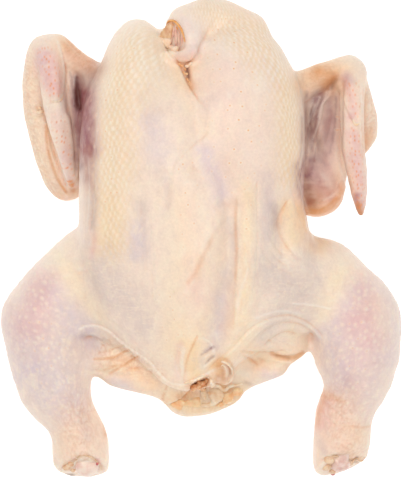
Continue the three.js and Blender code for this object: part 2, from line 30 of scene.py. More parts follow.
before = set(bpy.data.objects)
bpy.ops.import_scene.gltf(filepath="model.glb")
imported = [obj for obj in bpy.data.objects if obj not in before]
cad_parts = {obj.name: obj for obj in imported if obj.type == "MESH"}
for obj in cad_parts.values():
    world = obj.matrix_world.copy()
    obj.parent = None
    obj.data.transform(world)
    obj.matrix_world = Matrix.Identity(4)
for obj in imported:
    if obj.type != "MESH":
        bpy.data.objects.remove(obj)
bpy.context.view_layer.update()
mm = 0.001

# Folds, flaps and colours are drawn on a plan of the bird from above: 401 by 480 squares,
# with square 0,0 at the top left, the neck at the top, and the frame's origin in the middle.
plan = {
    "square": 0.625,  # mm to a square
    "middleAcross": 200.5,
    "middleDown": 240.0,
    "level": 25.0,  # mm, the height at which the plan is to scale
    "highest": 99.0,  # mm, higher than any hollow reaches
    "eye": 3025.0,  # mm, the height that it is drawn from: what stands higher looks a little larger
}


def onPlan(points):
    at = np.array(points, float)
    across = (at[:, 0] - plan["middleAcross"]) * plan["square"]
    along = (plan["middleDown"] - at[:, 1]) * plan["square"]
    return np.column_stack([across, along])


def flatOf(co):
    # where points of the bird lie on the plan
    return co[:, :2] * ((plan["eye"] - plan["level"]) / (plan["eye"] - co[:, 2]))[:, None]


def smoothLine(points, perStretch=5):
    # a Catmull-Rom line through the points
    p = np.vstack([2 * points[0] - points[1], points, 2 * points[-1] - points[-2]])
    t = np.linspace(0, 1, perStretch, endpoint=False)[:, None]
    made = []
    for a, b, c, d in zip(p, p[1:], p[2:], p[3:]):
        made.append(0.5 * (2 * b + (c - a) * t + (2 * a - 5 * b + 4 * c - d) * t**2
                           + (3 * b - a - 3 * c + d) * t**3))
    return np.vstack([*made, points[-1:]])


def lineReach(spots, line):
    # how far each spot is from the line, where along it (mm), and on which side (left is +1)
    nearest = np.full(len(spots), 1e9)
    where = np.zeros(len(spots))
    side = np.ones(len(spots))
    walked = 0.0
    for a, b in zip(line, line[1:]):
        step = b - a
        long = math.hypot(*step)
        if long < 1e-6:
            continue
        t = np.clip(((spots - a) @ step) / long**2, 0, 1)
        off = spots - (a + t[:, None] * step)
        far = np.hypot(off[:, 0], off[:, 1])
        closer = far < nearest
        nearest[closer] = far[closer]
        where[closer] = walked + t[closer] * long
        side[closer] = np.where(step[0] * off[closer, 1] - step[1] * off[closer, 0] >= 0, 1, -1)
        walked += long
    return nearest, where, side, walked


def insideOf(spots, outline, soft):
    # 1 inside an outline, 0 outside it, with a soft edge
    closed = np.vstack([outline, outline[:1]])
    far = lineReach(spots, closed)[0]
    inside = np.zeros(len(spots), bool)
    for a, b in zip(closed, closed[1:]):
        crosses = (a[1] > spots[:, 1]) != (b[1] > spots[:, 1])
        inside ^= crosses & (spots[:, 0] < a[0] + (spots[:, 1] - a[1]) * (b[0] - a[0]) / (b[1] - a[1] + 1e-9))
    return ramp(np.where(inside, far, -far), -soft, soft)


def ramp(value, low, high):
    t = np.clip((value - low) / (high - low), 0, 1)
    return t * t * (3 - 2 * t)


def noiseAt(co, size, seed=0.0):
    # soft noise, about -1 to 1, with features of a size in mm along each axis
    scaled = co / np.array(size if hasattr(size, "__len__") else [size] * 3, float) + seed
    return np.fromiter((noise.noise(p) for p in scaled), float, len(co))


def chance(i, j, salt):
    # the same number from 0 to 1 for the same square each run
    return np.modf(np.abs(np.sin(i * 127.1 + j * 311.7 + salt) * 43758.5453))[0]


def nearestSpot(across, along, pitch, jitter):
    # distance in mm from the nearest of many spots in rows half a step apart, and that spot's size, 0 to 1
    rowHeight = 0.87 * pitch
    row = np.floor(along / rowHeight)
    nearest = np.full(len(across), 1e9)
    size = np.zeros(len(across))
    for down in (-1, 0, 1):
        j = row + down
        shift = 0.5 * np.mod(j, 2)
        column = np.floor(across / pitch - shift)
        for over in (-1, 0, 1):
            i = column + over
            x = (i + 0.5 + shift + jitter * (chance(i, j, 0) - 0.5)) * pitch
            y = (j + 0.5 + jitter * (chance(i, j, 5) - 0.5)) * rowHeight
            far = np.hypot(across - x, along - y)
            closer = far < nearest
            nearest[closer] = far[closer]
            size[closer] = chance(i, j, 9)[closer]
    return nearest, size


def corners(mesh):
    co = np.empty(len(mesh.vertices) * 3, np.float32)
    mesh.vertices.foreach_get("co", co)
    return co.reshape(-1, 3).astype(float) / mm


def setCorners(mesh, co):
    mesh.vertices.foreach_set("co", (co * mm).astype(np.float32).ravel())
    mesh.update()


def outward(mesh):
    n = np.empty(len(mesh.vertices) * 3, np.float32)
    mesh.vertex_normals.foreach_get("vector", n)
    return n.reshape(-1, 3).astype(float)


def neighbours(mesh):
    pairs = np.empty(len(mesh.edges) * 2, np.int32)
    mesh.edges.foreach_get("vertices", pairs)
    return pairs.reshape(-1, 2)


def relaxed(values, pairs, rounds, share=0.5):
    # each round moves every value part of the way to the mean of its neighbours
    count = np.bincount(pairs.ravel(), minlength=len(values))
    out = values.astype(float).copy()
    flat = out.ndim == 1
    if flat:
        out = out[:, None]
    for _ in range(rounds):
        mean = np.empty_like(out)
        for axis in range(out.shape[1]):
            total = np.bincount(pairs[:, 0], out[pairs[:, 1], axis], len(out))
            total += np.bincount(pairs[:, 1], out[pairs[:, 0], axis], len(out))
            mean[:, axis] = total / np.maximum(count, 1)
        out += share * (mean - out)
    return out[:, 0] if flat else out


def modified(piece):
    # the piece's mesh with its modifiers applied
    bpy.context.view_layer.update()
    made = bpy.data.meshes.new_from_object(piece.evaluated_get(bpy.context.evaluated_depsgraph_get()))
    piece.modifiers.clear()
    piece.data = made
    return made


def evened(piece, voxel):
    # the piece's mesh made anew as one closed surface, in even squares of a size in mm
    remesh = piece.modifiers.new("even", "REMESH")
    remesh.mode = "VOXEL"
    remesh.voxel_size = voxel * mm
    return modified(piece)


def newPiece(name, mesh):
    piece = bpy.data.objects.new(name, mesh)
    bpy.context.scene.collection.objects.link(piece)
    return piece


def welded(node):
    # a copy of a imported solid's mesh, with the corners that its flat faces split joined again
    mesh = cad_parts[node].data.copy()
    bm = bmesh.new()
    bm.from_mesh(mesh)
    bmesh.ops.remove_doubles(bm, verts=bm.verts, dist=0.002 * mm)
    bm.to_mesh(mesh)
    bm.free()
    return mesh


def shadeSmooth(mesh):
    mesh.polygons.foreach_set("use_smooth", np.ones(len(mesh.polygons), bool))


def treeOf(mesh):
    return BVHTree.FromPolygons([v.co for v in mesh.vertices], [p.vertices for p in mesh.polygons])


def finished(piece, material):
    piece.data.materials.clear()
    piece.data.materials.append(material)
    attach(piece, "root")


def paintOn(mesh, name, values):
    layer = mesh.attributes.new(name, "FLOAT", "POINT")
    layer.data.foreach_set("value", np.clip(values, 0, 1).astype(np.float32))


# The skin's form. The tables after it add its hollows, folds, wrinkles and feather marks.
skinForm = {
    "voxel": 0.9,  # mm, narrower than the finest fold
    "relaxRounds": 8,
    "triangles": 192000,
    "trianglesBelow": 70000,  # of them on what can't be seen from above
    "foldsSeen": {"least": -0.02, "most": 0.28, "rounds": 3},  # how steep a wall the folds still reach
    "follicleStep": 3.5,  # mm, from bump to bump in a row
    "follicleRow": 3.7,  # mm, from row to row
    "follicleHeight": 0.34,  # mm
    "follicleDrift": (2.2, 11),  # mm, how far the rows wander, and over what length
    "follicleBow": 0.0025,  # how much the rows bend towards the flanks
    "goosebumpPitch": 4.7,  # drumsticks, thighs and wings
    "goosebumpHeight": 0.42,  # mm
    "goosebumpScatter": 0.8,  # 0 in rows, 1 all over the place
    "goosebumpDrift": (2.5, 14),
    "goosebumpRadius": (0.95, 0.6),  # mm, the smallest, and what the largest has more
    "wrinkleDepth": 0.28,  # mm
    "wrinkleWidth": 1.7,
    "wrinkleDrift": (1.2, 9),
    "wrinkleShape": 0.35,  # its width over its length
    "waves": [(7, 0.22, 6.0), (2.6, 0.1, 2.0)],  # the skin's own unevenness: size, height in mm, seed
}

# what the skin is walked round, in mm: its middle, how far out it is, and where it takes over
girths = {
    "trunk": {"x": -5, "z": 42, "radius": 62.0},
    "leg": {"x": 100, "z": 28, "radius": 28.0, "from": 60, "knee": -30, "splay": 0.25},
    "wing": {"x": 100, "z": 30, "radius": 18.0, "from": 74},
    "hip": 12,  # legs are below this line across the bird, and wings above it
}

# Hollows that are sunk by a depth in mm before the skin is meshed, or with no depth are filled up to a
# level in mm. The level is given at a square of the plan, with how it changes a square across and a
# square down, and its highest. Nothing under the lowest is touched, and the outline's edge is soft.
skinForm["hollows"] = [
    # the open vent between the keel's rim and the tail
    {"depth": 15, "level": 58, "at": (200, 380), "slope": (0, -1.7), "lowest": 38, "soft": 0.8,
     "outline": [(190, 386), (194.5, 382.4), (199, 379.8), (205, 377.2), (209.5, 376.2), (209.5, 380),
                 (207, 384.5), (206, 389), (200, 393), (191, 393)]},
    # the torn fold of the neck
    {"depth": 2.6, "lowest": 60, "soft": 0.8,
     "outline": [(176, 61), (183, 63), (190, 61.5), (189.5, 68), (190.5, 76), (193, 84), (196, 94),
                 (189, 84), (182, 71)]},
    # the pit behind the left wing, where a web of skin closes it
    {"level": 39, "at": (75, 120), "slope": (0, -0.05), "highest": 42, "lowest": 14, "soft": 2.0,
     "outline": [(64, 66), (76, 64), (83, 70), (83, 92), (81, 120), (82, 150), (80, 178), (73, 186),
                 (66, 160), (63, 120), (61, 90)]},
    # the right side of that wing's pinion, filled out to its full width
    {"level": 45.5, "at": (68, 120), "slope": (0, -0.16), "highest": 47, "lowest": 14, "soft": 1.0,
     "outline": [(66, 112), (70, 118), (72.5, 130), (74.5, 150), (75, 170), (73, 186), (67, 184),
                 (62, 150), (60, 120)]},
    # the cuts round both knobs of the leg bones
    {"level": 23.5, "at": (85, 466), "slope": (0, -0.85), "highest": 29, "lowest": 11, "soft": 1.2,
     "outline": [(60, 458), (105, 458), (106, 478), (58, 478)]},
    {"level": 22, "at": (338, 464), "slope": (-0.45, -0.85), "highest": 28, "lowest": 9, "soft": 1.2,
     "outline": [(316, 450), (360, 448), (366, 476), (316, 480)]},
    # a dip in the tail
    {"depth": 1.6, "lowest": 24, "soft": 1.2,
     "outline": [(176, 398), (181, 394.5), (187, 396), (187, 401), (182, 404), (177, 402)]},
]

# kind, half width in mm, height in mm, path on the plan. A flap rises on the left of its path.
skinForm["folds"] = [
    # neck: the hollow, its rim, the rolled lip under it and the torn fold below that
    ("groove", 2.4, 0.4, [(168, 30), (172, 38), (176, 46)]),
    ("ridge", 1.0, 1.1, [(165, 26), (170, 20), (175, 21.5), (180, 27), (183, 34), (184.5, 42), (182, 49)]),
    ("ridge", 2.1, 1.5, [(177.5, 58), (181, 59), (187, 58), (193.5, 54), (197, 47)]),
    ("groove", 0.9, 1.4, [(176, 61.5), (179, 63), (186, 63), (193, 60), (196, 55)]),
    ("groove", 1.4, 0.7, [(195, 57), (198, 50), (202, 42), (206, 35), (212, 29), (218, 26)]),
    ("groove", 0.7, 0.6, [(196, 56), (200, 47), (205, 38), (210, 31)]),
    ("groove", 0.9, 0.3, [(206, 33), (212, 24), (220, 17)]),
    ("groove", 0.9, 0.3, [(214, 37), (223, 25), (234, 17)]),
    ("groove", 0.9, 0.25, [(222, 43), (234, 31), (247, 25)]),
    ("ridge", 1.3, 0.3, [(199, 30), (201, 20), (208, 12)]),
    ("flap", 1.0, 1.5, [(195, 97), (190, 89), (185, 80), (180, 68), (175, 60), (170, 55), (164, 46),
                        (159, 36)]),
    ("groove", 1.1, 0.5, [(195, 94), (200, 102), (206, 108)]),
    # breast, from the neck down
    ("groove", 0.8, 0.45, [(206, 133), (193, 146), (184, 154), (177, 163), (172, 176)]),
    ("ridge", 2.6, 0.5, [(117, 75), (108, 88), (103, 102), (100, 122), (99, 150), (98.5, 190), (98, 240)]),
    ("groove", 1.5, 0.5, [(111, 78), (103, 92), (98, 106), (95.5, 124), (94.5, 150)]),
    ("ridge", 4.5, 0.7, [(196, 158), (206, 170), (214, 184), (217, 200), (212, 222), (202, 248), (190, 276)]),
    ("groove", 3.2, 0.5, [(208, 166), (219, 182), (224, 198), (224, 214)]),
    ("groove", 1.6, 0.28, [(226, 222), (213, 238), (204, 256), (196, 271), (188, 283), (178, 290)]),
    ("ridge", 1.6, 0.3, [(221, 218), (208, 235), (199, 252), (191, 267)]),
    ("ridge", 1.5, 0.6, [(257, 178), (251, 186), (242, 193), (238.5, 200), (237.5, 226), (239, 250),
                         (238, 281), (236, 300), (236, 326)]),
    ("groove", 4.2, 0.5, [(230, 206), (230, 236), (228, 262), (221, 288), (214, 312), (212, 336)]),
    ("ridge", 0.7, 0.35, [(248, 268), (245, 278), (240, 290), (237, 307), (235.5, 325)]),
    ("ridge", 0.7, 0.4, [(249, 282), (245, 296), (242, 314)]),
    ("groove", 0.8, 0.4, [(257, 180), (257.5, 215), (257, 262), (252, 300)]),
    ("groove", 1.0, 0.4, [(246, 214), (248, 246), (251, 270)]),
    ("groove", 3.0, 0.5, [(140, 206), (141, 240), (140, 266)]),
    ("groove", 1.4, 0.4, [(149, 216), (151, 250), (153, 300)]),
    ("groove", 2.0, 0.5, [(169, 176), (168, 192), (165, 210)]),
    ("flap", 1.0, 1.0, [(289, 201), (284, 208), (280, 217), (280, 228), (284, 240), (292, 252), (300, 259)]),
    ("groove", 3.0, 0.9, [(272, 206), (275, 220), (277, 234), (284, 248)]),
    ("ridge", 3.6, 0.7, [(288, 212), (287, 226), (293, 240), (302, 252)]),
    ("groove", 0.8, 0.35, [(268, 232), (274, 244), (284, 256), (296, 264)]),
    ("groove", 0.8, 0.3, [(263, 236), (270, 250), (281, 262), (293, 269)]),
    ("groove", 0.8, 0.3, [(259, 244), (267, 258), (279, 268), (292, 274)]),
    ("ridge", 2.0, 0.8, [(294, 176), (298, 192), (303, 208), (310, 226), (318, 238)]),
    ("groove", 1.2, 0.6, [(290, 182), (294, 198), (299, 214), (306, 232)]),
    # left flank streaks and armpit
    ("groove", 1.0, 0.45, [(92, 146), (94, 180), (92, 215), (88, 246)]),
    ("groove", 0.9, 0.35, [(87, 160), (88, 195), (85, 232)]),
    ("ridge", 1.0, 0.3, [(90, 155), (91, 190), (88.5, 232)]),
    ("ridge", 1.8, 0.5, [(84, 82), (82, 95), (83, 118), (86, 142), (86, 160)]),
    ("groove", 0.9, 0.35, [(84, 100), (92, 92), (101, 88)]),
    ("groove", 0.9, 0.35, [(85, 118), (91, 112), (97, 110)]),
    # keel end
    ("ridge", 1.1, 0.5, [(199, 337), (192, 347), (188, 357), (185, 368), (183.5, 379)]),
    ("groove", 0.7, 0.25, [(195, 343), (190, 354), (187, 366), (186.5, 377)]),
    ("ridge", 0.9, 0.5, [(178, 348), (177, 362), (178, 376)]),
    ("groove", 1.0, 0.5, [(202, 356), (207, 352), (213, 347)]),
    ("groove", 0.9, 0.5, [(206, 363), (210, 359), (214, 356)]),
    ("ridge", 0.6, 0.5, [(201, 357), (205, 353), (210, 350), (214, 346)]),
    ("ridge", 0.6, 0.4, [(204, 363), (208, 359), (213, 355)]),
    ("flap", 0.8, 0.6, [(216, 358), (214.5, 350), (210, 342), (203, 337.5), (198, 337)]),
    ("groove", 0.7, 0.3, [(196, 352), (195, 362), (193, 374)]),
    # left web, its rim and the stretched wrinkles on it
    ("flap", 0.8, 0.9, [(206, 374), (195, 379.5), (184, 384), (175, 384), (166, 380), (157.5, 371),
                        (150, 362), (139.5, 355), (128.5, 347.5), (118, 339), (107, 330), (96, 325.5),
                        (86, 326), (80, 329)]),
    ("ridge", 0.8, 0.25, [(84, 266), (102, 262), (124, 264)]),
    ("ridge", 0.8, 0.25, [(88, 276), (108, 272), (130, 273)]),
    ("ridge", 0.8, 0.25, [(70, 262), (82, 259), (96, 260)]),
    ("ridge", 0.8, 0.25, [(74, 272), (86, 269), (98, 269)]),
    ("ridge", 0.9, 0.3, [(100, 292), (118, 290), (132, 294)]),
    ("ridge", 0.8, 0.25, [(104, 304), (122, 306), (140, 314)]),
    ("groove", 0.8, 0.3, [(106, 318), (120, 328), (136, 342), (150, 354)]),
    # right web: rolled rim, and fine lines that follow it
    ("flap", 0.9, 1.0, [(321, 337), (315, 329), (304, 321.5), (290, 316.5), (275, 318), (260, 323.5),
                        (248, 332.5), (235, 347), (222, 358), (210, 369)]),
    ("ridge", 0.7, 0.35, [(304, 314), (288, 310), (271, 312.5), (255, 317.5), (243, 327), (233, 338)]),
    ("ridge", 0.7, 0.3, [(300, 309), (284, 306), (268, 308), (254, 313), (243, 321)]),
    ("ridge", 0.7, 0.35, [(276, 303), (293, 303), (311, 305), (331, 309)]),
    ("groove", 0.7, 0.25, [(262, 296), (282, 292), (304, 296), (322, 300)]),
    ("groove", 0.7, 0.25, [(260, 284), (280, 282), (302, 287)]),
    ("groove", 1.0, 0.6, [(313, 333), (302, 325), (290, 322.5), (278, 324), (266, 331), (256, 340),
                          (246, 350)]),
    ("ridge", 1.4, 0.8, [(306, 333), (294, 327), (280, 329), (268, 337), (258, 345)]),
    ("groove", 0.9, 0.7, [(296, 334), (286, 332), (276, 336), (266, 344)]),
    # left flank, under the web
    ("groove", 0.8, 0.6, [(94, 359), (105, 358.5), (114, 357), (121, 353.5), (130, 349.5)]),
    ("groove", 0.7, 0.35, [(99, 353), (108, 351), (116, 348), (124, 345)]),
    ("groove", 0.6, 0.5, [(106, 341), (112, 339), (118, 338)]),
    ("groove", 0.6, 0.6, [(110, 373), (119, 368), (126, 364), (133, 359), (139, 355.5)]),
    ("groove", 0.6, 0.5, [(104, 370), (112, 367), (121, 365)]),
    ("ridge", 1.2, 0.5, [(118, 374), (130, 372), (144, 369), (154, 367)]),
    ("groove", 0.8, 0.5, [(101, 347), (109, 342), (116, 341)]),
    ("ridge", 1.6, 0.5, [(104, 350), (112, 346), (121, 344)]),
    ("groove", 1.3, 0.6, [(96, 370), (107, 373), (120, 375.5), (130, 374)]),
    ("ridge", 2.2, 0.6, [(116, 370), (127, 365), (138, 362), (148, 365)]),
    ("groove", 1.2, 0.5, [(122, 373), (132, 368), (142, 367)]),
    ("groove", 1.4, 0.5, [(128, 357), (138, 358), (146, 364), (152, 372)]),
    ("ridge", 1.6, 0.4, [(104, 364), (118, 361), (130, 356)]),
    # right flank
    ("groove", 0.9, 1.0, [(242, 351), (254, 352.5), (271, 353), (284, 351)]),
    ("groove", 1.1, 1.3, [(272, 354), (282, 357), (293, 357), (303, 353)]),
    ("ridge", 1.1, 0.8, [(262, 357), (276, 361), (292, 361.5)]),
    ("ridge", 1.2, 0.7, [(262, 347), (276, 345), (290, 349)]),
    ("groove", 1.0, 0.8, [(244, 354), (250, 359), (257, 364)]),
    ("groove", 0.8, 0.5, [(268, 341), (276, 343), (284, 348)]),
    ("groove", 0.8, 0.4, [(276, 339), (286, 344), (296, 348)]),
    ("groove", 1.4, 0.4, [(262, 368), (274, 371), (288, 366)]),
    # left ankle and hock
    ("groove", 0.7, 0.45, [(79, 445), (86, 440), (92, 433)]),
    ("groove", 0.7, 0.4, [(74, 424), (84, 421), (92, 425)]),
    ("groove", 0.7, 0.35, [(76, 414), (86, 412), (95, 408)]),
    ("groove", 0.7, 0.35, [(55, 436), (66, 432), (80, 431)]),
    ("flap", 1.0, 1.2, [(104, 474), (101, 467), (95, 461), (86, 456), (78, 458), (71, 464), (60, 471),
                        (54, 476)]),
    # right ankle and hock
    ("groove", 0.9, 0.5, [(322, 393), (329, 398), (338, 400.5), (347, 401)]),
    ("groove", 0.7, 0.5, [(326, 402), (334, 410), (342, 418)]),
    ("groove", 0.7, 0.45, [(321, 408), (328, 418), (336, 426)]),
    ("groove", 0.8, 0.35, [(342, 423), (352, 426), (362, 427.5), (371, 426)]),
    ("groove", 0.7, 0.3, [(326, 428), (342, 432), (358, 440)]),
    ("groove", 0.7, 0.3, [(330, 438), (346, 442), (362, 452)]),
    ("flap", 1.0, 1.2, [(371, 462), (362, 459), (352, 461), (344, 459), (334, 457), (326, 459), (318, 466)]),
    # left wing
    ("flap", 0.8, 0.8, [(49, 103), (52, 101.5), (57, 101), (62, 98), (64, 88), (65, 74), (63, 58), (58, 42)]),
    ("groove", 1.3, 0.7, [(41, 100), (46, 116), (49, 130), (53, 146), (58, 164), (65, 186)]),
    ("ridge", 1.1, 1.0, [(45, 120), (48, 132), (49, 146), (54, 162), (59, 180), (68, 196)]),
    ("groove", 0.8, 0.5, [(66, 64), (68, 80), (69.5, 100), (72.8, 124), (75.5, 150), (76, 176)]),
    ("groove", 1.7, 2.6, [(77, 86), (78, 97), (79, 108)]),
    ("ridge", 0.7, 0.5, [(67, 74), (71, 92), (76, 116), (80, 150)]),
    ("ridge", 0.6, 0.4, [(71, 72), (74, 88), (75.5, 104)]),
    ("groove", 1.1, 1.1, [(36, 110), (41, 112), (45, 109)]),
    ("groove", 1.0, 0.9, [(37, 118), (42, 117), (46, 119)]),
    ("groove", 0.8, 0.6, [(66, 40), (76, 50), (86, 59), (96, 65)]),
    # right wing
    ("groove", 0.9, 0.7, [(313, 206), (326, 199.5), (336, 191), (341, 182)]),
    ("ridge", 1.4, 0.8, [(306, 212), (319, 213), (331, 207), (340, 196), (343, 184)]),
    ("groove", 1.1, 0.7, [(340, 70), (334, 80), (326, 91), (315, 97), (306, 103)]),
    ("ridge", 0.7, 0.6, [(329, 96), (323, 104), (320, 120), (313, 137)]),
    ("ridge", 0.7, 0.7, [(318, 98), (315, 106), (309, 122)]),
    ("ridge", 0.6, 0.5, [(322, 94), (318, 104), (312, 124), (309, 142)]),
    ("ridge", 0.6, 0.5, [(313, 140), (310, 160), (305, 184)]),
    ("ridge", 0.6, 0.4, [(322, 120), (318, 142), (314, 160)]),
    ("ridge", 1.0, 0.5, [(303, 108), (304.5, 130), (303, 150), (299, 168)]),
    ("ridge", 0.7, 0.4, [(334, 104), (331, 124), (326, 146)]),
    ("groove", 1.0, 0.5, [(312, 110), (310, 130), (308, 150)]),
    ("groove", 1.3, 1.1, [(342, 82), (341, 103), (341, 126), (340, 146), (343, 168), (350, 190)]),
    ("flap", 0.8, 0.9, [(345, 104), (348, 112), (353, 121), (358, 125), (361, 122), (362, 110)]),
    ("groove", 1.2, 1.0, [(363.5, 88), (363.5, 110), (363, 132), (364, 150)]),
    # the torn knob beside the vent
    ("groove", 0.8, 1.0, [(226, 364), (229.5, 368.5), (230.5, 374), (228.5, 380)]),
    ("ridge", 0.7, 0.8, [(222, 361), (226, 361.5), (231, 366), (233, 373), (231, 381)]),
    ("ridge", 0.8, 0.7, [(219, 366), (223, 364), (226.5, 369), (226.5, 376)]),
    ("groove", 0.7, 0.5, [(221, 369), (223.5, 371), (223, 377)]),
    ("groove", 0.8, 0.5, [(214, 376), (219, 381), (226, 383)]),
    ("groove", 0.9, 0.8, [(222, 389.5), (228, 391), (234, 387.5)]),
    # tail: a rounded outer band, and fat lobes parted by furrows
    ("ridge", 2.6, 1.6, [(171, 404), (177, 409), (186, 413), (198, 412), (212, 409), (226, 405), (236, 398),
                         (240, 392)]),
    ("ridge", 0.6, 0.5, [(203, 404), (210, 402.5), (217, 403)]),
    ("flap", 0.9, 1.8, [(168, 403), (175, 401), (182, 397), (187.5, 391), (190, 384)]),
]

skinForm["wrinkles"] = [  # path on the plan, half width in mm, direction of the wrinkles in the frame
    ([(30, 120), (36, 160), (48, 190)], 8, (1, 0.15, 0.2)),
    ([(372, 90), (371, 130)], 6, (1, -0.2, 0.2)),
    ([(104, 350), (122, 356), (140, 366)], 9, (1, 0.25, 0)),
    ([(78, 410), (80, 440), (80, 455)], 12, (1, 0.3, 0)),
    ([(335, 400), (345, 420), (346, 450)], 12, (1, -0.45, 0)),
    ([(27, 66), (27, 110), (36, 160), (52, 192)], 9, (0.55, 0.8, 0.1)),
    ([(104, 362), (118, 360), (136, 364), (152, 372)], 8, (-0.35, 1, 0)),
    ([(184, 400), (204, 398), (226, 398)], 9, (1, 0.4, 0)),
    ([(372, 92), (374, 126)], 5, (0.5, -0.8, 0.1)),
    ([(308, 78), (328, 72)], 7, (0.2, 1, 0.2)),
    ([(72, 50), (86, 66)], 7, (0.5, -0.8, 0.2)),
]


leastMark = 0.02  # what is fainter isn't worked out


def seenFromAbove(mesh, co, normals, least, most, rounds, clear=0.4):
    # 1 where the plan's strokes land, 0 on walls that overhang and on what lies under something
    tree = treeOf(mesh)
    eye = Vector((0, 0, plan["eye"])) * mm
    seen = ramp(normals[:, 2], least, most)
    for i in np.flatnonzero(seen > 0):
        start = Vector(co[i] + normals[i] * clear) * mm
        if tree.ray_cast(start, eye - start)[0] is not None:
            seen[i] = 0
    return relaxed(seen, neighbours(mesh), rounds)


def strokeOn(flat, path, halfWidth, reach):
    # the vertices that a stroke can reach, their distance to it, their side, and how it tapers there
    line = smoothLine(onPlan(path))
    low, high = line.min(0) - reach, line.max(0) + reach
    near = np.flatnonzero(((flat > low) & (flat < high)).all(1))
    far, where, side, total = lineReach(flat[near], line)
    ends = 1.5 * halfWidth
    taper = np.clip((where + ends) / (2 * ends), 0, 1) * np.clip((total - where + ends) / (2 * ends), 0, 1)
    return near, far, side, taper


def foldHeights(flat):
    rise = np.zeros(len(flat))
    for kind, halfWidth, height, path in skinForm["folds"]:
        near, far, side, taper = strokeOn(flat, path, halfWidth, 6 * halfWidth)
        u = far / halfWidth
        if kind == "ridge":
            shape = np.exp(-u**2)
        elif kind == "groove":
            shape = 0.3 * np.exp(-((u - 2.1) ** 2)) - np.exp(-u**2)  # with a low rise on both sides
        else:
            signed = side * u
            # up steeply, then down gently away from the edge
            shape = (0.5 + 0.5 * np.tanh(2.6 * signed)) * np.exp(-np.maximum(signed, 0) / 2.2)
            shape -= 0.5 * np.exp(-((signed + 0.7) ** 2))  # and the shadow line under it
        rise[near] += height * taper * shape
    return rise


def brush(flat, strokes):
    # soft strokes on the plan, each (amount, half width in mm, path), laid one over the other
    laid = np.zeros(len(flat))
    for amount, halfWidth, path in strokes:
        near, far, _, _ = strokeOn(flat, path, halfWidth, 2.2 * halfWidth)
        edge = 2.6 if halfWidth < 2.5 else 2.0  # narrow strokes are crisper
        laid[near] = 1 - (1 - laid[near]) * (1 - amount * np.exp(-(far / halfWidth) ** edge))
    return laid


# where feathers were drawn: the lattice of follicles, and the scattered goosebumps;
# amount, half width in mm, path on the plan
skinForm["lattice"] = [
    (0.9, 11, [(136, 44), (124, 74), (114, 110), (112, 150), (112, 200), (112, 244)]),
    (0.5, 9, [(150, 58), (140, 92), (132, 130), (128, 170)]),
    (0.8, 10, [(206, 10), (232, 20), (252, 36)]),
    (0.7, 9, [(226, 26), (240, 42), (256, 66)]),
    (1.0, 9, [(256, 34), (272, 58), (284, 90), (290, 130), (290, 176)]),
    (0.4, 7, [(160, 62), (174, 82)]),
]
skinForm["goosebumps"] = [
    (0.8, 9, [(250, 30), (266, 58), (278, 90), (286, 120)]),
    (1.0, 26, [(44, 276), (38, 320), (48, 350), (58, 386), (66, 404)]),
    (1.0, 26, [(362, 282), (364, 322), (358, 356), (350, 390)]),
    (0.7, 8, [(30, 70), (30, 110), (36, 150)]),
    (0.6, 9, [(316, 186), (330, 200)]),
    (0.5, 10, [(60, 262), (80, 254)]),
    (0.6, 6, [(48, 60), (54, 92)]),
    (0.6, 6, [(352, 90), (354, 150), (360, 200)]),
    (0.5, 8, [(370, 96), (370, 130)]),
]


def unrolled(co):
    # millimetres round the trunk, a leg or a wing, and millimetres along it
    x, y, z = co.T
    trunk, leg, wing, hip = (girths[part] for part in ("trunk", "leg", "wing", "hip"))
    out = np.abs(x)
    across = np.arctan2(x - trunk["x"], z - trunk["z"]) * trunk["radius"]
    onLeg = (out > leg["from"]) & (y < hip)
    shin = leg["x"] - (leg["knee"] - y) * leg["splay"]
    across[onLeg] = (np.arctan2(out - shin, z - leg["z"]) * leg["radius"])[onLeg]
    onWing = (out > wing["from"]) & (y > hip)
    across[onWing] = (np.arctan2(out - wing["x"], z - wing["z"]) * wing["radius"])[onWing]
    return across, y


def follicles(co):
    # rows of low rounded bumps, every other row half a step along
    across, along = unrolled(co)
    drift, length = skinForm["follicleDrift"]
    girth = across + drift * noiseAt(co, length, 3.1)
    along = along + skinForm["follicleBow"] * across**2 + drift * noiseAt(co, length, 8.7)
    wave = np.cos(2 * np.pi * girth / skinForm["follicleStep"])
    wave *= np.cos(np.pi * along / skinForm["follicleRow"])
    return ramp(wave, -0.45, 0.85)  # broad bumps with narrow valleys


def goosebumps(co):
    # scattered round bumps, some fuller than others
    across, along = unrolled(co)
    drift, length = skinForm["goosebumpDrift"]
    across = across + drift * noiseAt(co, length, 1.1)
    far, size = nearestSpot(across, along, skinForm["goosebumpPitch"], skinForm["goosebumpScatter"])
    least, more = skinForm["goosebumpRadius"]
    return (1 - ramp(far / (least + more * size), 0.25, 1.45)) * (0.45 + 0.55 * size)


def featherMarks(co, seen, sides):
    # how strongly the lattice and the goosebumps show, also on the sides where no stroke lands
    onTrunk = ramp(co[:, 1], -40, 0)
    onLegs = ramp(np.abs(co[:, 0]), 62, 76) * ramp(co[:, 1], 10, 0) * ramp(co[:, 1], -118, -104)
    lattice = np.maximum(brush(flatOf(co), skinForm["lattice"]) * seen, 0.5 * sides * onTrunk)
    pimply = np.maximum(brush(flatOf(co), skinForm["goosebumps"]) * seen, 0.8 * onLegs * sides)
    return lattice, pimply


def wrinkles(co, direction):
    # narrow furrows that run across the given direction
    d = np.array(direction, float) / np.linalg.norm(direction)
    drift, length = skinForm["wrinkleDrift"]
    across = (co @ d) + drift * noiseAt(co, length, 4.4)
    narrow = skinForm["wrinkleShape"]
    stretched = co * narrow + np.outer(across, d) * (1 - narrow)
    furrow = 1 - np.abs(noiseAt(stretched, skinForm["wrinkleWidth"], 2.2))
    return -ramp(furrow, 0.72, 1.0)


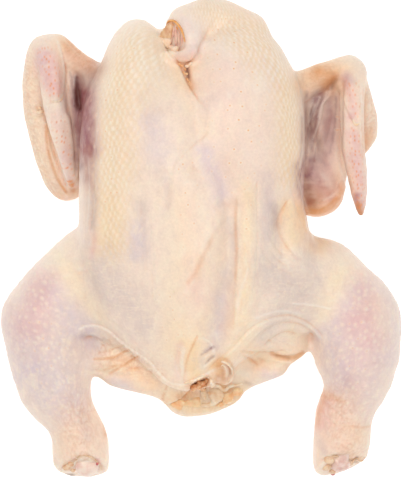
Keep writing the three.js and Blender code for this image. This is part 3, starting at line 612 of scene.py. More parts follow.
def wrinkledPlaces(co, seen):
    # for each place its vertices, how strongly each is wrinkled, and the furrows there
    for path, halfWidth, direction in skinForm["wrinkles"]:
        mask = brush(flatOf(co), [(1.0, halfWidth, path)]) * seen
        near = np.flatnonzero(mask > leastMark)
        yield near, mask[near], wrinkles(co[near], direction)


print("skin: one closed surface over the packed bird")
skin = newPiece("skin_and_flesh", welded("bird"))
skin.modifiers.new("round", "SUBSURF").levels = 2
skinMesh = modified(skin)
co = corners(skinMesh)
facingUp = ramp(outward(skinMesh)[:, 2], -0.1, 0.15)
for hollow in skinForm["hollows"]:
    inside = insideOf(flatOf(co), smoothLine(onPlan(hollow["outline"])), hollow["soft"])
    inside = inside * (co[:, 2] > hollow["lowest"]) * facingUp
    square = flatOf(co) / plan["square"]
    column, line = hollow.get("at", (0, 0))
    slopeAcross, slopeDown = hollow.get("slope", (0, 0))
    level = (hollow.get("level", 0) + slopeAcross * (square[:, 0] + plan["middleAcross"] - column)
             + slopeDown * (plan["middleDown"] - square[:, 1] - line))
    level = np.minimum(level, hollow.get("highest", plan["highest"]))
    if "depth" in hollow:
        co[:, 2] -= inside * np.minimum(hollow["depth"], np.maximum(co[:, 2] - level, 0))
    else:
        co[:, 2] += inside * np.maximum(level - co[:, 2], 0)
setCorners(skinMesh, co)
skinMesh = evened(skin, skinForm["voxel"])
pairs = neighbours(skinMesh)
co = relaxed(corners(skinMesh), pairs, skinForm["relaxRounds"])
setCorners(skinMesh, co)

print("skin: folds, flaps and wrinkles")
normals = relaxed(outward(skinMesh), pairs, 4)
normals /= np.linalg.norm(normals, axis=1)[:, None]
seen = seenFromAbove(skinMesh, co, normals, **skinForm["foldsSeen"])
co += normals * (foldHeights(flatOf(co)) * seen)[:, None]
for near, mask, furrows in wrinkledPlaces(co, seen):
    co[near] += normals[near] * (skinForm["wrinkleDepth"] * mask * furrows)[:, None]
setCorners(skinMesh, co)

print("skin: follicles and goosebumps")
normals = outward(skinMesh)
sides = ramp(normals[:, 2], 0.5, -0.2) * ramp(co[:, 2], 6, 14)
lattice, pimply = featherMarks(co, seen, sides)
bumps = np.zeros(len(co))
near = np.flatnonzero(lattice > leastMark)
bumps[near] += skinForm["follicleHeight"] * lattice[near] * (follicles(co[near]) - 0.4)
near = np.flatnonzero(pimply > leastMark)
bumps[near] += skinForm["goosebumpHeight"] * pimply[near] * goosebumps(co[near])
bumps += sum(height * noiseAt(co, size, seed) for size, height, seed in skinForm["waves"])
co += normals * bumps[:, None]
co[:, 2] = np.maximum(co[:, 2], 0.0)
setCorners(skinMesh, co)


def thinned(piece, mesh, triangles, onlyWhere=None):
    # fewer triangles: all over, or only where the given share of each vertex is over a half
    count = sum(len(p.vertices) - 2 for p in mesh.polygons)
    thin = piece.modifiers.new("thin", "DECIMATE")
    if onlyWhere is not None:
        group = piece.vertex_groups.new(name="below")
        group.add([int(i) for i in np.flatnonzero(onlyWhere > 0.5)], 1.0, "REPLACE")
        thin.vertex_group = group.name
    thin.ratio = min(1.0, triangles / count)
    made = modified(piece)
    piece.vertex_groups.clear()
    return made


triangles = 2 * len(skinMesh.polygons)
below = 1 - seen
skinMesh = thinned(skin, skinMesh, triangles * (1 - below.mean()) + skinForm["trianglesBelow"], below)
skinMesh = thinned(skin, skinMesh, skinForm["triangles"])
co = corners(skinMesh)
co[:, 2] = np.maximum(co[:, 2], 0.0)
setCorners(skinMesh, co)
shadeSmooth(skinMesh)
print("skin:", len(skinMesh.polygons), "faces")

# The skin's colours. The strokes that lay them on are added below.
skinFinish = {
    "bare": "#f7e1ce",
    "under": [  # laid one over the other, under the marbling
        ("fat", "#fde6c7", 0.85),
        ("peach", "#ffddc5", 0.8),
        ("honey", "#fcd6a6", 0.75),
        ("grey", "#dfccc3", 0.85),
        ("lavender", "#d9c9d4", 0.7),
    ],
    "over": [  # over the marbling
        ("rose", "#e2a9ac", 0.7),
        ("mauve", "#88545e", 0.85),
        # lean meat showing through, and painted shade in the armpits and wing pits
        ("wine", "#9c4650", 0.7),
        # orange fat and dried edges, and painted shade along the creases
        ("amber", "#dc9450", 0.75),
        # near white: pale skin, and painted highlight along the rims
        ("paleSkinAndRimHighlight", "#fdf2e6", 0.7),
        # painted shade in the deepest folds
        ("foldShade", "#5c2c22", 0.88),
    ],
    "marbling": [  # tint, where it begins and is full in the marbling's noise, share
        ("#fdecd3", 0.5, 0.68, 0.4),  # fat
        ("#dcc2b4", 0.48, 0.32, 0.24),  # lean
    ],
    # painted shade, warm orange, in the creases of the skin's form, and painted highlight on its crests
    "shadeAndHighlight": [("creaseShade", "#e9a56c", 0.55), ("crestHighlight", "#fdf0de", 0.3)],  # where, tint, share
    # furrow: the skin's orange lines and painted shade, orange-brown, in the furrows of the wrinkles
    "marks": [("follicle", "#edcb9c", 0.58), ("goosebump", "#fbead6", 0.54), ("furrow", "#cf9468", 0.28)],
    "fineLines": 1.3,  # mm apart on taut skin; finer ones wouldn't show
    "fineLine": "#fdecd3",
    "dots": [  # where, tint, mm apart, radius in mm to full and to faded, 1 for round or less for long, share
        ("pored", "#fbe9d6", 9.0, 0.9, 1.6, 1, 0.6),  # the pale rim of an open pore
        ("pored", "#f0ac5c", 9.0, 0.3, 0.75, 1, 0.75),  # the pore, drawn twice its real width to show
        ("stubble", "#f0913c", 2.1, 0.15, 0.6, 0.5, 0.62),  # stubs of quills, seen through the skin
    ],
    "mottle": 1.6,  # mm, the fine clouding of raw skin
    "marble": 7.0,  # mm, drifts of fat and of lean through it
    "blotch": 9.0,  # mm, where a colour is fuller or thinner, and the skin wetter or drier
    "bump": 0.25,  # mm
    "bumpStrength": 0.25,
    "ior": 1.38,  # moist skin
    "subsurface": 0.3,
    "subsurfaceReach": 2.8,  # mm, for red
    "subsurfaceTint": (1.0, 0.6, 0.42),  # red light goes furthest
    "roughness": (0.35, 0.5),  # where it is wettest and driest
    "coat": 0.15,
    "coatRoughness": 0.28,
    "coatIor": 1.34,  # water with a little salt and fat
    "strokesSeen": {"least": -0.15, "most": 0.08, "rounds": 8},  # how steep a wall the strokes still reach
    "creaseRounds": 12,  # how far round a point its crease or crest is judged
    "creaseDepth": (0.12, 0.9),  # mm, where painted shade begins in a crease, and where it is full
    # mm, where painted highlight begins on a crest, and where it is full; the skin stretched over it is also
    # paler
    "crestHeight": (0.1, 0.8),
    "wandering": ("fat", "peach", "honey", "grey", "lavender", "rose"),  # strokes with drifting edges
    "drift": (2.2, 16),  # mm, how far they wander, and over what length
    "warm": ("fat", "honey", "peach", "amber"),
    "warmth": 0.3,  # what the steep walls still get of the warm strokes
    "uneven": 0.4,  # how patchy a stroke is
    "bloody": ("mauve", "wine"),
    "unevenBlood": 0.9,  # blood gathers in blotches
    "patches": {"fine": (4, 1.0), "broad": (22, 4.0), "wide": (36, 9.0)},  # size in mm, seed
}

# amount, half width in mm, path on the plan
skinFinish["strokes"] = {
    "fat": [  # yellow fat right under the skin
        (0.9, 11, [(140, 38), (124, 70), (113, 104), (110, 150), (109, 200), (109, 240)]),
        (0.7, 12, [(156, 48), (150, 74), (140, 96)]),
        (0.5, 7, [(186, 94), (200, 118), (206, 132)]),
        (0.8, 6, [(284, 84), (288, 130), (290, 178)]),
        (0.9, 6.5, [(288, 206), (288, 226), (296, 246)]),
        (0.9, 5, [(248, 186), (247, 230), (246, 270), (243, 320)]),
        (1.0, 5.5, [(46, 247), (62, 264), (78, 284), (90, 302), (98, 318)]),
        (0.8, 4, [(56, 256), (74, 276), (90, 298)]),
        (1.0, 6, [(346, 264), (336, 280), (328, 298), (320, 318)]),
        (0.8, 4, [(342, 268), (332, 288), (324, 308)]),
        (0.6, 9, [(178, 200), (182, 250), (172, 300), (174, 350)]),
        (0.9, 5, [(195, 346), (190, 362), (196, 374)]),
        (0.8, 4.5, [(292, 332), (302, 336), (306, 343)]),
        (0.35, 6, [(30, 90), (32, 130), (44, 176)]),
        (0.7, 5, [(178, 410), (196, 413), (222, 407), (238, 396)]),
        (0.6, 8, [(206, 12), (230, 16), (250, 30)]),
        (0.5, 6, [(104, 344), (116, 350), (128, 356)]),
        (0.5, 6, [(60, 242), (40, 260)]),
        (0.5, 6, [(340, 256), (352, 262)]),
        (0.6, 5, [(214, 366), (228, 354), (244, 340), (258, 332)]),
        (0.4, 12, [(222, 306), (206, 330), (186, 346)]),
    ],
    "honey": [  # warm skin, dried a little at the folds
        (1.0, 10, [(304, 80), (322, 74), (336, 76)]),
        (0.6, 7, [(304, 224), (316, 240)]),
        (0.8, 7, [(68, 46), (80, 58), (92, 68)]),
        (0.2, 7, [(26, 60), (25, 100), (32, 140), (44, 176), (58, 192)]),
        (0.6, 8, [(112, 366), (130, 372), (152, 386), (172, 393)]),
        (0.4, 18, [(186, 340), (204, 350), (222, 336)]),
        (0.3, 16, [(232, 250), (228, 280), (220, 320)]),
        (0.8, 6, [(193, 350), (192, 374)]),
        (1.0, 9, [(176, 400), (200, 401), (222, 398), (238, 393)]),
        (0.8, 7, [(220, 364), (223, 378), (226, 388)]),
        (0.6, 5, [(284, 206), (283, 226), (290, 244)]),
        (0.5, 8, [(304, 206), (312, 226), (310, 244)]),
        (0.6, 8, [(250, 358), (272, 360), (296, 356)]),
        (0.7, 6, [(300, 214), (310, 232), (322, 242)]),
        (0.3, 12, [(72, 440), (76, 456)]),
        (0.3, 4, [(248, 196), (247, 240), (245, 300)]),
        (0.4, 12, [(350, 404), (352, 430), (352, 452)]),
        (0.7, 7, [(320, 210), (336, 200), (343, 184)]),
        (0.25, 7, [(370, 96), (372, 136)]),
        (0.6, 5, [(182, 62), (192, 66)]),
        (0.6, 6, [(148, 30), (160, 44), (172, 60), (184, 80)]),
        (0.5, 5, [(92, 240), (94, 262)]),
        (0.4, 8, [(222, 366), (230, 372)]),
    ],
    "peach": [  # thin warm skin over muscle
        (0.8, 20, [(222, 46), (236, 74), (232, 104)]),
        (0.6, 12, [(206, 70), (210, 90)]),
        (0.8, 9, [(248, 26), (258, 56)]),
        (0.6, 7, [(200, 18), (207, 46)]),
        (0.6, 9, [(186, 200), (190, 250), (196, 290)]),
        (0.7, 9, [(104, 366), (124, 372), (150, 388)]),
        (0.7, 12, [(72, 414), (76, 436), (78, 452)]),
        (0.8, 13, [(346, 410), (344, 450)]),
        (0.8, 8, [(370, 84), (372, 130)]),
        (0.6, 4, [(88, 236), (92, 258)]),
        (0.9, 5, [(298, 196), (304, 214), (312, 232)]),
        (0.6, 9, [(252, 362), (276, 362), (296, 354)]),
        (0.7, 5, [(32, 66), (28, 100)]),
        (0.3, 5, [(183, 352), (182, 376)]),
        (0.7, 7, [(320, 250), (340, 250), (362, 270)]),
        (0.7, 7, [(180, 60), (194, 66), (200, 80)]),
    ],
    "grey": [  # see-through skin with lean meat or air behind it
        (0.5, 10, [(140, 96), (152, 128), (154, 166)]),
        (0.7, 6, [(140, 208), (140, 232), (138, 256)]),
        (0.5, 3, [(168, 178), (169, 196), (165, 212)]),
        # painted shade in the soft hollow left of the belly's raised strip, over the skin's own grey
        (0.8, 4, [(232, 222), (231, 254), (226, 280)]),
        (0.9, 6, [(226, 276), (220, 304), (215, 332), (216, 346)]),
        (0.75, 5.5, [(266, 176), (267, 206), (269, 236)]),
        (0.7, 4, [(272, 206), (275, 222), (277, 236)]),
        (0.9, 13, [(106, 268), (114, 284), (126, 300), (140, 322)]),
        (0.8, 5, [(92, 260), (100, 278), (110, 302)]),
        (0.9, 14, [(270, 270), (286, 282), (300, 294)]),
        (0.6, 5, [(300, 252), (310, 264), (316, 284)]),
        (0.5, 5, [(264, 316), (284, 310), (306, 318)]),
        (1.0, 6, [(80, 328), (87, 342), (92, 350)]),
        (0.7, 7, [(96, 344), (92, 354)]),
        (0.8, 8, [(84, 332), (90, 344)]),
        (0.8, 7, [(318, 336), (326, 346), (330, 366)]),
        (0.6, 4, [(83, 424), (86, 438)]),
        (0.7, 3, [(320, 444), (323, 453)]),
        (0.9, 4, [(88, 150), (90, 196), (87, 244)]),
        (0.5, 3, [(303, 100), (304, 150), (300, 176)]),
        (0.6, 4, [(306, 238), (314, 246)]),
        (0.6, 14, [(62, 318), (66, 350), (66, 386)]),
        (0.5, 14, [(36, 352), (46, 380)]),
        (0.6, 12, [(330, 350), (338, 384)]),
        (0.6, 3.5, [(76, 112), (78, 140), (79, 176)]),
        (0.5, 4, [(328, 108), (326, 140)]),
        (0.5, 6, [(208, 104), (222, 98), (234, 96)]),
        (0.6, 4, [(278, 322), (268, 330), (262, 338)]),
        # painted shade beside the keel's end
        (0.5, 2.4, [(202, 360), (203, 368)]),
        (0.5, 4, [(208, 390), (212, 398)]),
    ],
    "lavender": [  # cold, bluish skin where a vein or air lies under it
        (0.8, 6, [(206, 152), (210, 164), (216, 180), (221, 196)]),
        (0.5, 9, [(150, 120), (158, 150)]),
        (0.6, 7, [(136, 232), (138, 252)]),
        (0.3, 6, [(322, 334), (336, 340)]),
        (0.7, 4, [(114, 381), (126, 387)]),
        (0.6, 4, [(264, 372), (276, 376)]),
        (0.6, 5, [(185, 21), (192, 25)]),
        (0.4, 3, [(179, 57), (187, 57), (195, 50)]),
        (0.15, 5, [(266, 176), (267, 206), (269, 236)]),
        # painted shade in the crease beside the neck
        (0.6, 4, [(200, 36), (202, 44)]),
        (0.5, 5, [(370, 282), (362, 288)]),
        (0.6, 14, [(36, 290), (26, 330), (34, 366)]),
        (0.4, 7, [(8, 316), (9, 344), (16, 376)]),
        (0.6, 9, [(28, 372), (42, 396), (54, 410)]),
        (0.5, 7, [(388, 292), (396, 326), (392, 360)]),
        (0.5, 9, [(382, 352), (374, 388), (362, 408)]),
        (0.35, 16, [(60, 330), (62, 372)]),
        (0.6, 7, [(52, 292), (66, 312), (78, 330)]),
        (0.6, 8, [(330, 338), (344, 318), (356, 296)]),
        (0.5, 14, [(356, 330), (350, 372)]),
        (0.5, 9, [(62, 388), (76, 398)]),
        (0.4, 6, [(226, 300), (218, 330)]),
        (0.5, 5, [(96, 66), (90, 80)]),
        (0.4, 8, [(348, 360), (340, 380)]),
        (0.6, 6, [(86, 330), (92, 344)]),
        (0.6, 5, [(42, 56), (46, 66)]),
        (0.4, 4, [(64, 156), (69, 172), (71, 182)]),
        (0.5, 3, [(344, 74), (350, 80)]),
    ],
    "rose": [  # blood just under the skin
        (0.6, 11, [(40, 282), (38, 302), (34, 324)]),
        (0.15, 12, [(20, 322), (34, 348)]),
        (0.2, 5, [(349, 118), (350, 160), (352, 200)]),
        (0.28, 12, [(338, 408), (342, 440)]),
        (0.18, 11, [(76, 414), (78, 444)]),
        (0.6, 9, [(366, 284), (366, 304), (362, 318)]),
        (0.6, 12, [(358, 326), (366, 340)]),
        (0.3, 12, [(360, 362), (350, 380)]),
        (0.9, 5, [(46, 54), (52, 70), (55, 90)]),
        (0.6, 5, [(42, 62), (46, 84)]),
        (0.4, 4, [(56, 116), (64, 140), (68, 160)]),
        (0.25, 3.5, [(64, 150), (69, 170), (71, 182)]),
        (0.7, 3.5, [(346, 78), (352, 100), (350, 116)]),
        (0.8, 4, [(354, 134), (358, 176), (361, 204)]),
        (0.6, 2.5, [(94, 236), (92, 256)]),
        (0.3, 3, [(180, 346), (177, 362), (178, 378)]),
        (0.4, 5, [(264, 64), (276, 84)]),
        (0.8, 2.2, [(96, 462), (97, 467)]),
        (0.6, 5, [(324, 404), (320, 426)]),
        (0.9, 9, [(306, 172), (318, 184), (330, 194)]),
        (0.2, 7, [(306, 82), (324, 76)]),
        (0.5, 6, [(72, 52), (86, 66)]),
        (0.5, 5, [(330, 120), (328, 150), (322, 176)]),
        (0.9, 6, [(86, 98), (88, 124), (90, 146)]),
        (0.3, 5, [(190, 30), (186, 44)]),
        (0.5, 3, [(178, 57), (187, 57), (194, 52)]),
        (0.4, 8, [(224, 60), (244, 70)]),
        (0.3, 6, [(196, 286), (202, 300)]),
        (0.16, 30, [(236, 90), (250, 150)]),
    ],
    "mauve": [  # lean meat showing through; in the armpits and wing pits it is also painted shade, darkest there
        (0.3, 2.2, [(175, 28), (178, 36), (178, 46)]),
        (0.35, 5.0, [(90, 72), (84, 86)]),
        (1.0, 5.0, [(83, 96), (84, 124), (87, 150)]),
        (0.4, 4.5, [(100, 66), (94, 84), (92, 112), (93, 150)]),
        (0.4, 3, [(84, 152), (86, 180)]),
        (0.25, 3, [(94, 152), (96, 190), (93, 226)]),
        (0.85, 3.4, [(318, 97), (312, 116), (308, 140)]),
        (0.5, 2.0, [(324, 92), (318, 108), (315, 140)]),
        (0.5, 5, [(330, 100), (328, 140), (322, 160)]),
        (0.6, 3.2, [(334, 78), (325, 89), (315, 101)]),
        (0.6, 1.2, [(306.5, 92), (306, 110), (306.5, 130), (306, 150), (303.5, 170)]),
        (0.6, 0.8, [(324, 95), (319, 111), (314, 129)]),
        (0.6, 0.8, [(316.5, 96), (312, 111), (309.5, 127)]),
        (0.5, 0.8, [(336, 98), (334.5, 128), (330, 152)]),
        (0.5, 0.7, [(317, 144), (313, 164), (309, 180)]),
        (0.5, 1.5, [(303, 118), (302, 160)]),
        (0.6, 1.6, [(313, 140), (310, 166), (306, 190)]),
        (0.5, 1.6, [(319, 142), (315, 160)]),
        (0.9, 5, [(301, 168), (303, 186), (309, 202)]),
        (0.45, 8, [(314, 172), (326, 186)]),
        (0.4, 3, [(330, 84), (322, 92), (312, 100)]),
        (1.0, 3.2, [(77, 78), (78, 94), (79, 112)]),
        (0.6, 4, [(76, 96), (77, 130), (79, 166)]),
        (0.4, 0.8, [(70, 72), (72.5, 90), (74, 106)]),
        (0.45, 0.8, [(201, 355), (204, 352.5), (206.5, 351.5)]),
        (0.55, 1.0, [(205, 351.5), (209, 349), (213, 347)]),
        (0.4, 0.6, [(206, 363.5), (208.5, 360.5)]),
        (0.5, 0.9, [(208.5, 360), (211.5, 357.5), (214.5, 356)]),
        (0.2, 0.8, [(207, 343), (210.5, 347)]),
        (0.6, 2.2, [(357, 209), (360, 216)]),
        (0.12, 3, [(347, 378), (349, 386)]),
        (0.25, 3.2, [(345, 76), (351, 81)]),
        (0.3, 3.5, [(275, 208), (277, 226)]),
        (0.35, 1.0, [(226, 364.5), (229.5, 369), (230.3, 375)]),
        (0.3, 1.6, [(219, 377), (224, 379)]),
        (0.3, 1.0, [(221, 366), (223, 374)]),
        (0.15, 3, [(80, 412), (88, 420)]),
        (0.15, 3, [(84, 334), (92, 345)]),
    ],
    "wine": [  # fresher blood in the armpits and at the wing tips
        (0.7, 5.5, [(83, 92), (86, 120), (88, 150)]),
        (0.45, 4, [(87, 150), (91, 184)]),
        (0.8, 2.6, [(357, 196), (359.5, 212)]),
        (0.35, 4, [(302, 172), (305, 192), (310, 204)]),
        (0.35, 3.5, [(333, 96), (330, 120)]),
        (0.4, 2.4, [(176, 27), (179, 36), (178.5, 46)]),
        (0.8, 1.6, [(184, 66), (186.5, 70), (188.5, 80)]),
        (0.35, 2.0, [(76, 100), (78, 130)]),
        (0.25, 1.2, [(207, 350), (212, 347.5)]),
        (0.2, 2.0, [(219, 377), (224, 380)]),
    ],
    "amber": [  # fat and dried edges that glow orange; its thin strokes along the folds and grooves are painted shade, warm orange
        (0.16, 4, [(86, 150), (89, 192)]),
        (0.12, 4, [(229, 282), (229, 330)]),
        (0.12, 10, [(228, 166), (238, 198)]),
        (0.24, 7, [(306, 208), (312, 244)]),
        (1.0, 1.1, [(171, 21), (175, 22.5), (179, 27), (182.5, 34), (184.5, 41)]),
        (0.4, 2.0, [(171, 24), (178, 31), (181, 40)]),
        (0.6, 1.1, [(175, 61), (180, 63), (188, 62.5), (194, 60)]),
        (0.5, 2.5, [(178, 57.5), (186, 58.5), (193, 55.5)]),
        (0.65, 3, [(181, 65), (186, 68), (188, 78), (191, 88)]),
        (0.5, 2.4, [(179, 396), (184, 397), (183, 401)]),
        (0.35, 2.4, [(191, 394), (192, 402)]),
        (0.35, 3, [(222, 392), (228, 400), (220, 404)]),
        (0.7, 2.2, [(222, 389), (228, 391), (235, 388), (240, 394)]),
        (0.9, 4, [(193, 388), (200, 386), (206, 382)]),
        (0.6, 0.8, [(224, 358.5), (229, 361.5), (232.5, 367), (233.5, 375)]),
        (0.5, 4, [(216, 382), (226, 386)]),
        (0.8, 4.8, [(220, 365), (224, 378)]),
        (0.8, 1.6, [(272, 354), (284, 357.5), (294, 357.5), (303, 353)]),
        (0.8, 4, [(306, 213), (320, 215), (334, 208), (343, 194)]),
        (0.4, 8, [(314, 196), (328, 190)]),
        (0.3, 7, [(302, 82), (318, 74)]),
        (0.9, 5, [(318, 72), (332, 75), (326, 84)]),
        (0.7, 0.9, [(306, 209), (318, 210.5), (330, 204), (340, 194)]),
        (0.25, 7, [(306, 228), (316, 240)]),
        (0.45, 6, [(68, 44), (80, 56), (92, 68)]),
        (0.5, 2.4, [(324, 394), (319, 410), (317, 424)]),
        (0.8, 2.4, [(98, 388), (105, 412), (107, 434)]),
        (0.4, 1.4, [(286, 205), (281, 214), (280, 222)]),
        (0.9, 1.1, [(46, 126), (47.5, 146), (52, 164), (58, 180), (66, 192)]),
        (0.5, 2, [(38, 108), (42, 114)]),
        (0.7, 3.5, [(369, 132), (367, 150)]),
        (0.9, 2.4, [(358, 205), (360, 215)]),
        (0.8, 2.0, [(71, 183), (73, 190)]),
        (0.4, 1.0, [(236.5, 200), (235.5, 226), (236.5, 250), (235.5, 280)]),
        (0.8, 0.8, [(167, 386), (164.5, 393), (162, 400)]),
        (0.7, 0.7, [(94, 359), (105, 358.5), (114, 357), (121, 353.5), (130, 349.5)]),
        (0.2, 0.7, [(99, 353), (108, 351), (116, 348), (124, 345)]),
        (0.5, 0.9, [(110, 373), (119, 368), (126, 364), (133, 359), (139, 355.5)]),
        (0.4, 0.9, [(104, 370), (112, 367), (121, 365)]),
        (0.3, 1.3, [(212, 239), (203, 258), (196, 272), (188, 283)]),
        (0.6, 0.7, [(197, 337), (193, 345), (188, 357), (185, 370), (184, 380)]),
        (0.25, 3, [(200, 258), (196, 276)]),
        (0.4, 2.0, [(330, 396), (342, 401)]),
        (0.3, 0.9, [(344, 425), (360, 427.5), (370, 426)]),
        (0.35, 4, [(40, 192), (58, 200)]),
        (0.5, 1.2, [(78, 457.5), (86, 455.5), (94, 460), (101, 468)]),
        (0.5, 1.2, [(326, 459), (336, 457), (346, 460)]),
        (0.6, 1.5, [(220, 389), (226, 391), (232, 387)]),
    ],
    "foldShade": [  # painted shade, nearly black-brown, in the deepest folds and cuts
        (0.8, 1.1, [(187, 68.5), (188.3, 77)]),
        (1.0, 1.9, [(77.8, 92), (79, 108)]),
        (0.8, 1.1, [(76.5, 78), (77.5, 92)]),
        (0.35, 1.2, [(336, 80), (331, 88)]),
        (0.25, 1.0, [(194, 383), (198, 381.5), (202, 380.5)]),
        (0.3, 1.2, [(245, 382.5), (250, 384)]),
        (0.7, 0.8, [(347, 462), (352, 461), (357, 457.5)]),
        (0.4, 0.8, [(352, 461), (360, 463)]),
        (0.7, 0.9, [(63, 475), (73, 475)]),
        (0.3, 0.8, [(276, 355.5), (290, 358)]),
        (0.3, 2.4, [(312, 110), (309, 132)]),
    ],
    "paleSkinAndRimHighlight": [  # taut rims and scraped skin, nearly white; the thin strokes along the rolled rims are painted highlight
        (0.8, 0.8, [(184, 384), (175, 384), (166, 380), (157.5, 371), (150, 362), (139.5, 355),
                    (128.5, 347.5), (118, 339), (107, 330), (96, 325.5), (86, 326), (80, 329)]),
        (0.8, 0.9, [(58, 42), (62, 56), (64.5, 74), (63, 96)]),
        (0.8, 0.7, [(293, 303.5), (311, 305), (331, 309)]),
        (0.8, 0.8, [(190, 382), (198, 378), (206, 374), (214, 370)]),
        (0.6, 3, [(62, 104), (60, 120)]),
        (0.35, 4, [(62, 136), (65, 174)]),
        (0.35, 4.5, [(231, 381), (246, 375)]),
        (0.4, 3.5, [(176, 372), (182, 379)]),
        (0.2, 5, [(162, 389), (176, 392)]),
        (0.2, 5, [(55, 108), (57, 132)]),
        (0.3, 5, [(370, 92), (371, 132)]),
        (0.12, 7, [(331, 104), (330, 150)]),
        (0.25, 6, [(288, 105), (289, 178)]),
        (0.5, 0.9, [(324, 200), (332, 196), (338, 190)]),
        (0.5, 0.6, [(331, 86), (328, 97), (321, 106), (319, 122), (313, 139)]),
        (0.5, 0.7, [(315, 105), (309, 122)]),
        (0.6, 0.8, [(66, 84), (69, 104), (72, 124), (74.5, 150)]),
        (0.6, 0.7, [(301.5, 90), (303, 108), (303.8, 130), (303, 150), (299.5, 168)]),
        (0.5, 0.6, [(313, 98), (309.5, 112), (308, 126)]),
        (0.5, 0.6, [(327, 92), (322.5, 104), (318, 117)]),
        (0.5, 0.6, [(320, 97), (316, 108), (312.5, 119)]),
        (0.5, 0.6, [(75, 74), (73, 90), (74.5, 104)]),
        (0.4, 0.8, [(298, 178), (303, 196), (309, 214), (316, 236)]),
        (0.5, 8, [(84, 464), (90, 470)]),
        (0.45, 12, [(36, 258), (52, 248)]),
        (0.5, 10, [(342, 250), (362, 262), (378, 280)]),
        (0.5, 8, [(14, 290), (24, 272), (38, 262)]),
        (0.6, 0.9, [(300, 314), (286, 311), (271, 313), (256, 318)]),
        (0.4, 1.2, [(248, 270), (242, 286), (237, 306)]),
        (0.5, 2.5, [(324, 176), (330, 184)]),
        (0.5, 0.9, [(204, 338), (212, 344), (215, 356)]),
        (0.7, 1.0, [(184, 348), (182, 360), (183, 374)]),
        (0.9, 22, [(210, 26), (236, 44), (262, 66)]),
        (0.9, 16, [(138, 36), (146, 62)]),
        (0.6, 0.5, [(203, 359), (208, 355), (214, 350.5)]),
        (0.6, 0.5, [(202, 353), (207, 349.5), (212, 345)]),
        (0.6, 0.5, [(205, 366), (210, 362), (215, 358)]),
        (0.5, 7.5, [(112, 84), (110, 130), (110, 180)]),
        (0.2, 12, [(212, 110), (240, 120), (256, 150)]),
        (0.4, 1.0, [(224, 362), (226.5, 368), (226.5, 376)]),
    ],
    "pored": [  # where the open pores show as orange dots
        (0.9, 16, [(226, 40), (240, 80), (240, 130), (234, 160)]),
        (0.8, 6, [(184, 160), (188, 200), (190, 240)]),
        (0.6, 10, [(128, 50), (104, 110), (112, 200)]),
        (0.6, 6, [(246, 200), (246, 260)]),
        (0.6, 8, [(172, 300), (172, 350)]),
        (0.5, 6, [(340, 120), (330, 180)]),
        (0.4, 14, [(40, 320), (50, 370)]),
        (0.4, 14, [(356, 320), (350, 370)]),
    ],
    "stubble": [  # close-set dark pores of the pinions
        (1.0, 5, [(44, 52), (50, 70), (54, 92)]),
        (1.0, 4, [(58, 122), (63, 146), (69, 182)]),
        (1.0, 4, [(354, 132), (357, 170), (361, 208)]),
        (0.8, 4, [(352, 84), (357, 112)]),
    ],
    "taut": [  # stretched skin with fine lines across it
        (1.0, 20, [(112, 270), (124, 300), (150, 330)]),
        (1.0, 20, [(290, 270), (284, 296), (262, 320)]),
        (0.8, 10, [(60, 268), (88, 306)]),
        (0.8, 10, [(336, 276), (322, 316)]),
        (0.8, 10, [(104, 366), (140, 376)]),
        (0.8, 8, [(28, 80), (36, 150)]),
        (0.7, 12, [(78, 410), (80, 450)]),
        (0.7, 12, [(344, 410), (344, 446)]),
    ],
}

print("skin: pigments")
co = corners(skinMesh)
pairs = neighbours(skinMesh)
normals = outward(skinMesh)
seen = seenFromAbove(skinMesh, co, normals, **skinFinish["strokesSeen"])
warmth = skinFinish["warmth"]
gentle = warmth + (1 - warmth) * ramp(normals[:, 2], 0.0, 0.35)  # warm colours don't run down steep walls
flat = flatOf(co)
drift, length = skinFinish["drift"]
wander = np.column_stack([noiseAt(co, length, 2.5), noiseAt(co, length, 7.5)]) * drift
patchy = {name: 0.5 + 0.5 * noiseAt(co, *patch) for name, patch in skinFinish["patches"].items()}
unseen = 1 - seen
hidden = {  # what the sides and the back get, out of the plan's reach
    "fat": 0.75 * ramp(patchy["broad"], 0.42, 0.7),
    "peach": 0.6 * ramp(patchy["wide"], 0.35, 0.65),
    "rose": 0.45 * ramp(patchy["wide"], 0.62, 0.3) * ramp(np.abs(co[:, 0]), 50, 80),
    "grey": 0.4 * ramp(patchy["broad"], 0.5, 0.3),
    # on the sides, painted shade in the hollows of the armpits
    "mauve": 0.5 * ramp(np.abs(co[:, 1] - 55), 62, 12) * ramp(np.abs(co[:, 0]), 96, 70)
    * ramp(co[:, 2], 14, 36) * ramp(co[:, 2], 82, 52) * (0.5 + patchy["fine"]),
    "pored": 0.3 * ramp(patchy["wide"], 0.4, 0.6),
}
for name, strokes in skinFinish["strokes"].items():
    spots = flat + wander if name in skinFinish["wandering"] else flat
    uneven = skinFinish["unevenBlood" if name in skinFinish["bloody"] else "uneven"]
    laid = brush(spots, strokes) * (1 - 0.5 * uneven + uneven * patchy["fine"])
    if name in skinFinish["warm"]:
        laid *= gentle
    paintOn(skinMesh, name, laid * seen + hidden.get(name, 0) * unseen)

deep = relaxed(co, pairs, skinFinish["creaseRounds"]) - co  # towards the open side in a crease
hollow = (deep * normals).sum(1)
# painted shade where the skin lies in a crease
paintOn(skinMesh, "creaseShade", ramp(hollow, *skinFinish["creaseDepth"]))
# painted highlight on the crests, where the stretched skin is also paler
paintOn(skinMesh, "crestHighlight", ramp(-hollow, *skinFinish["crestHeight"]))
lattice, pimply = featherMarks(co, seen, unseen)
paintOn(skinMesh, "follicle", lattice * (1 - follicles(co)))
paintOn(skinMesh, "goosebump", pimply * goosebumps(co))
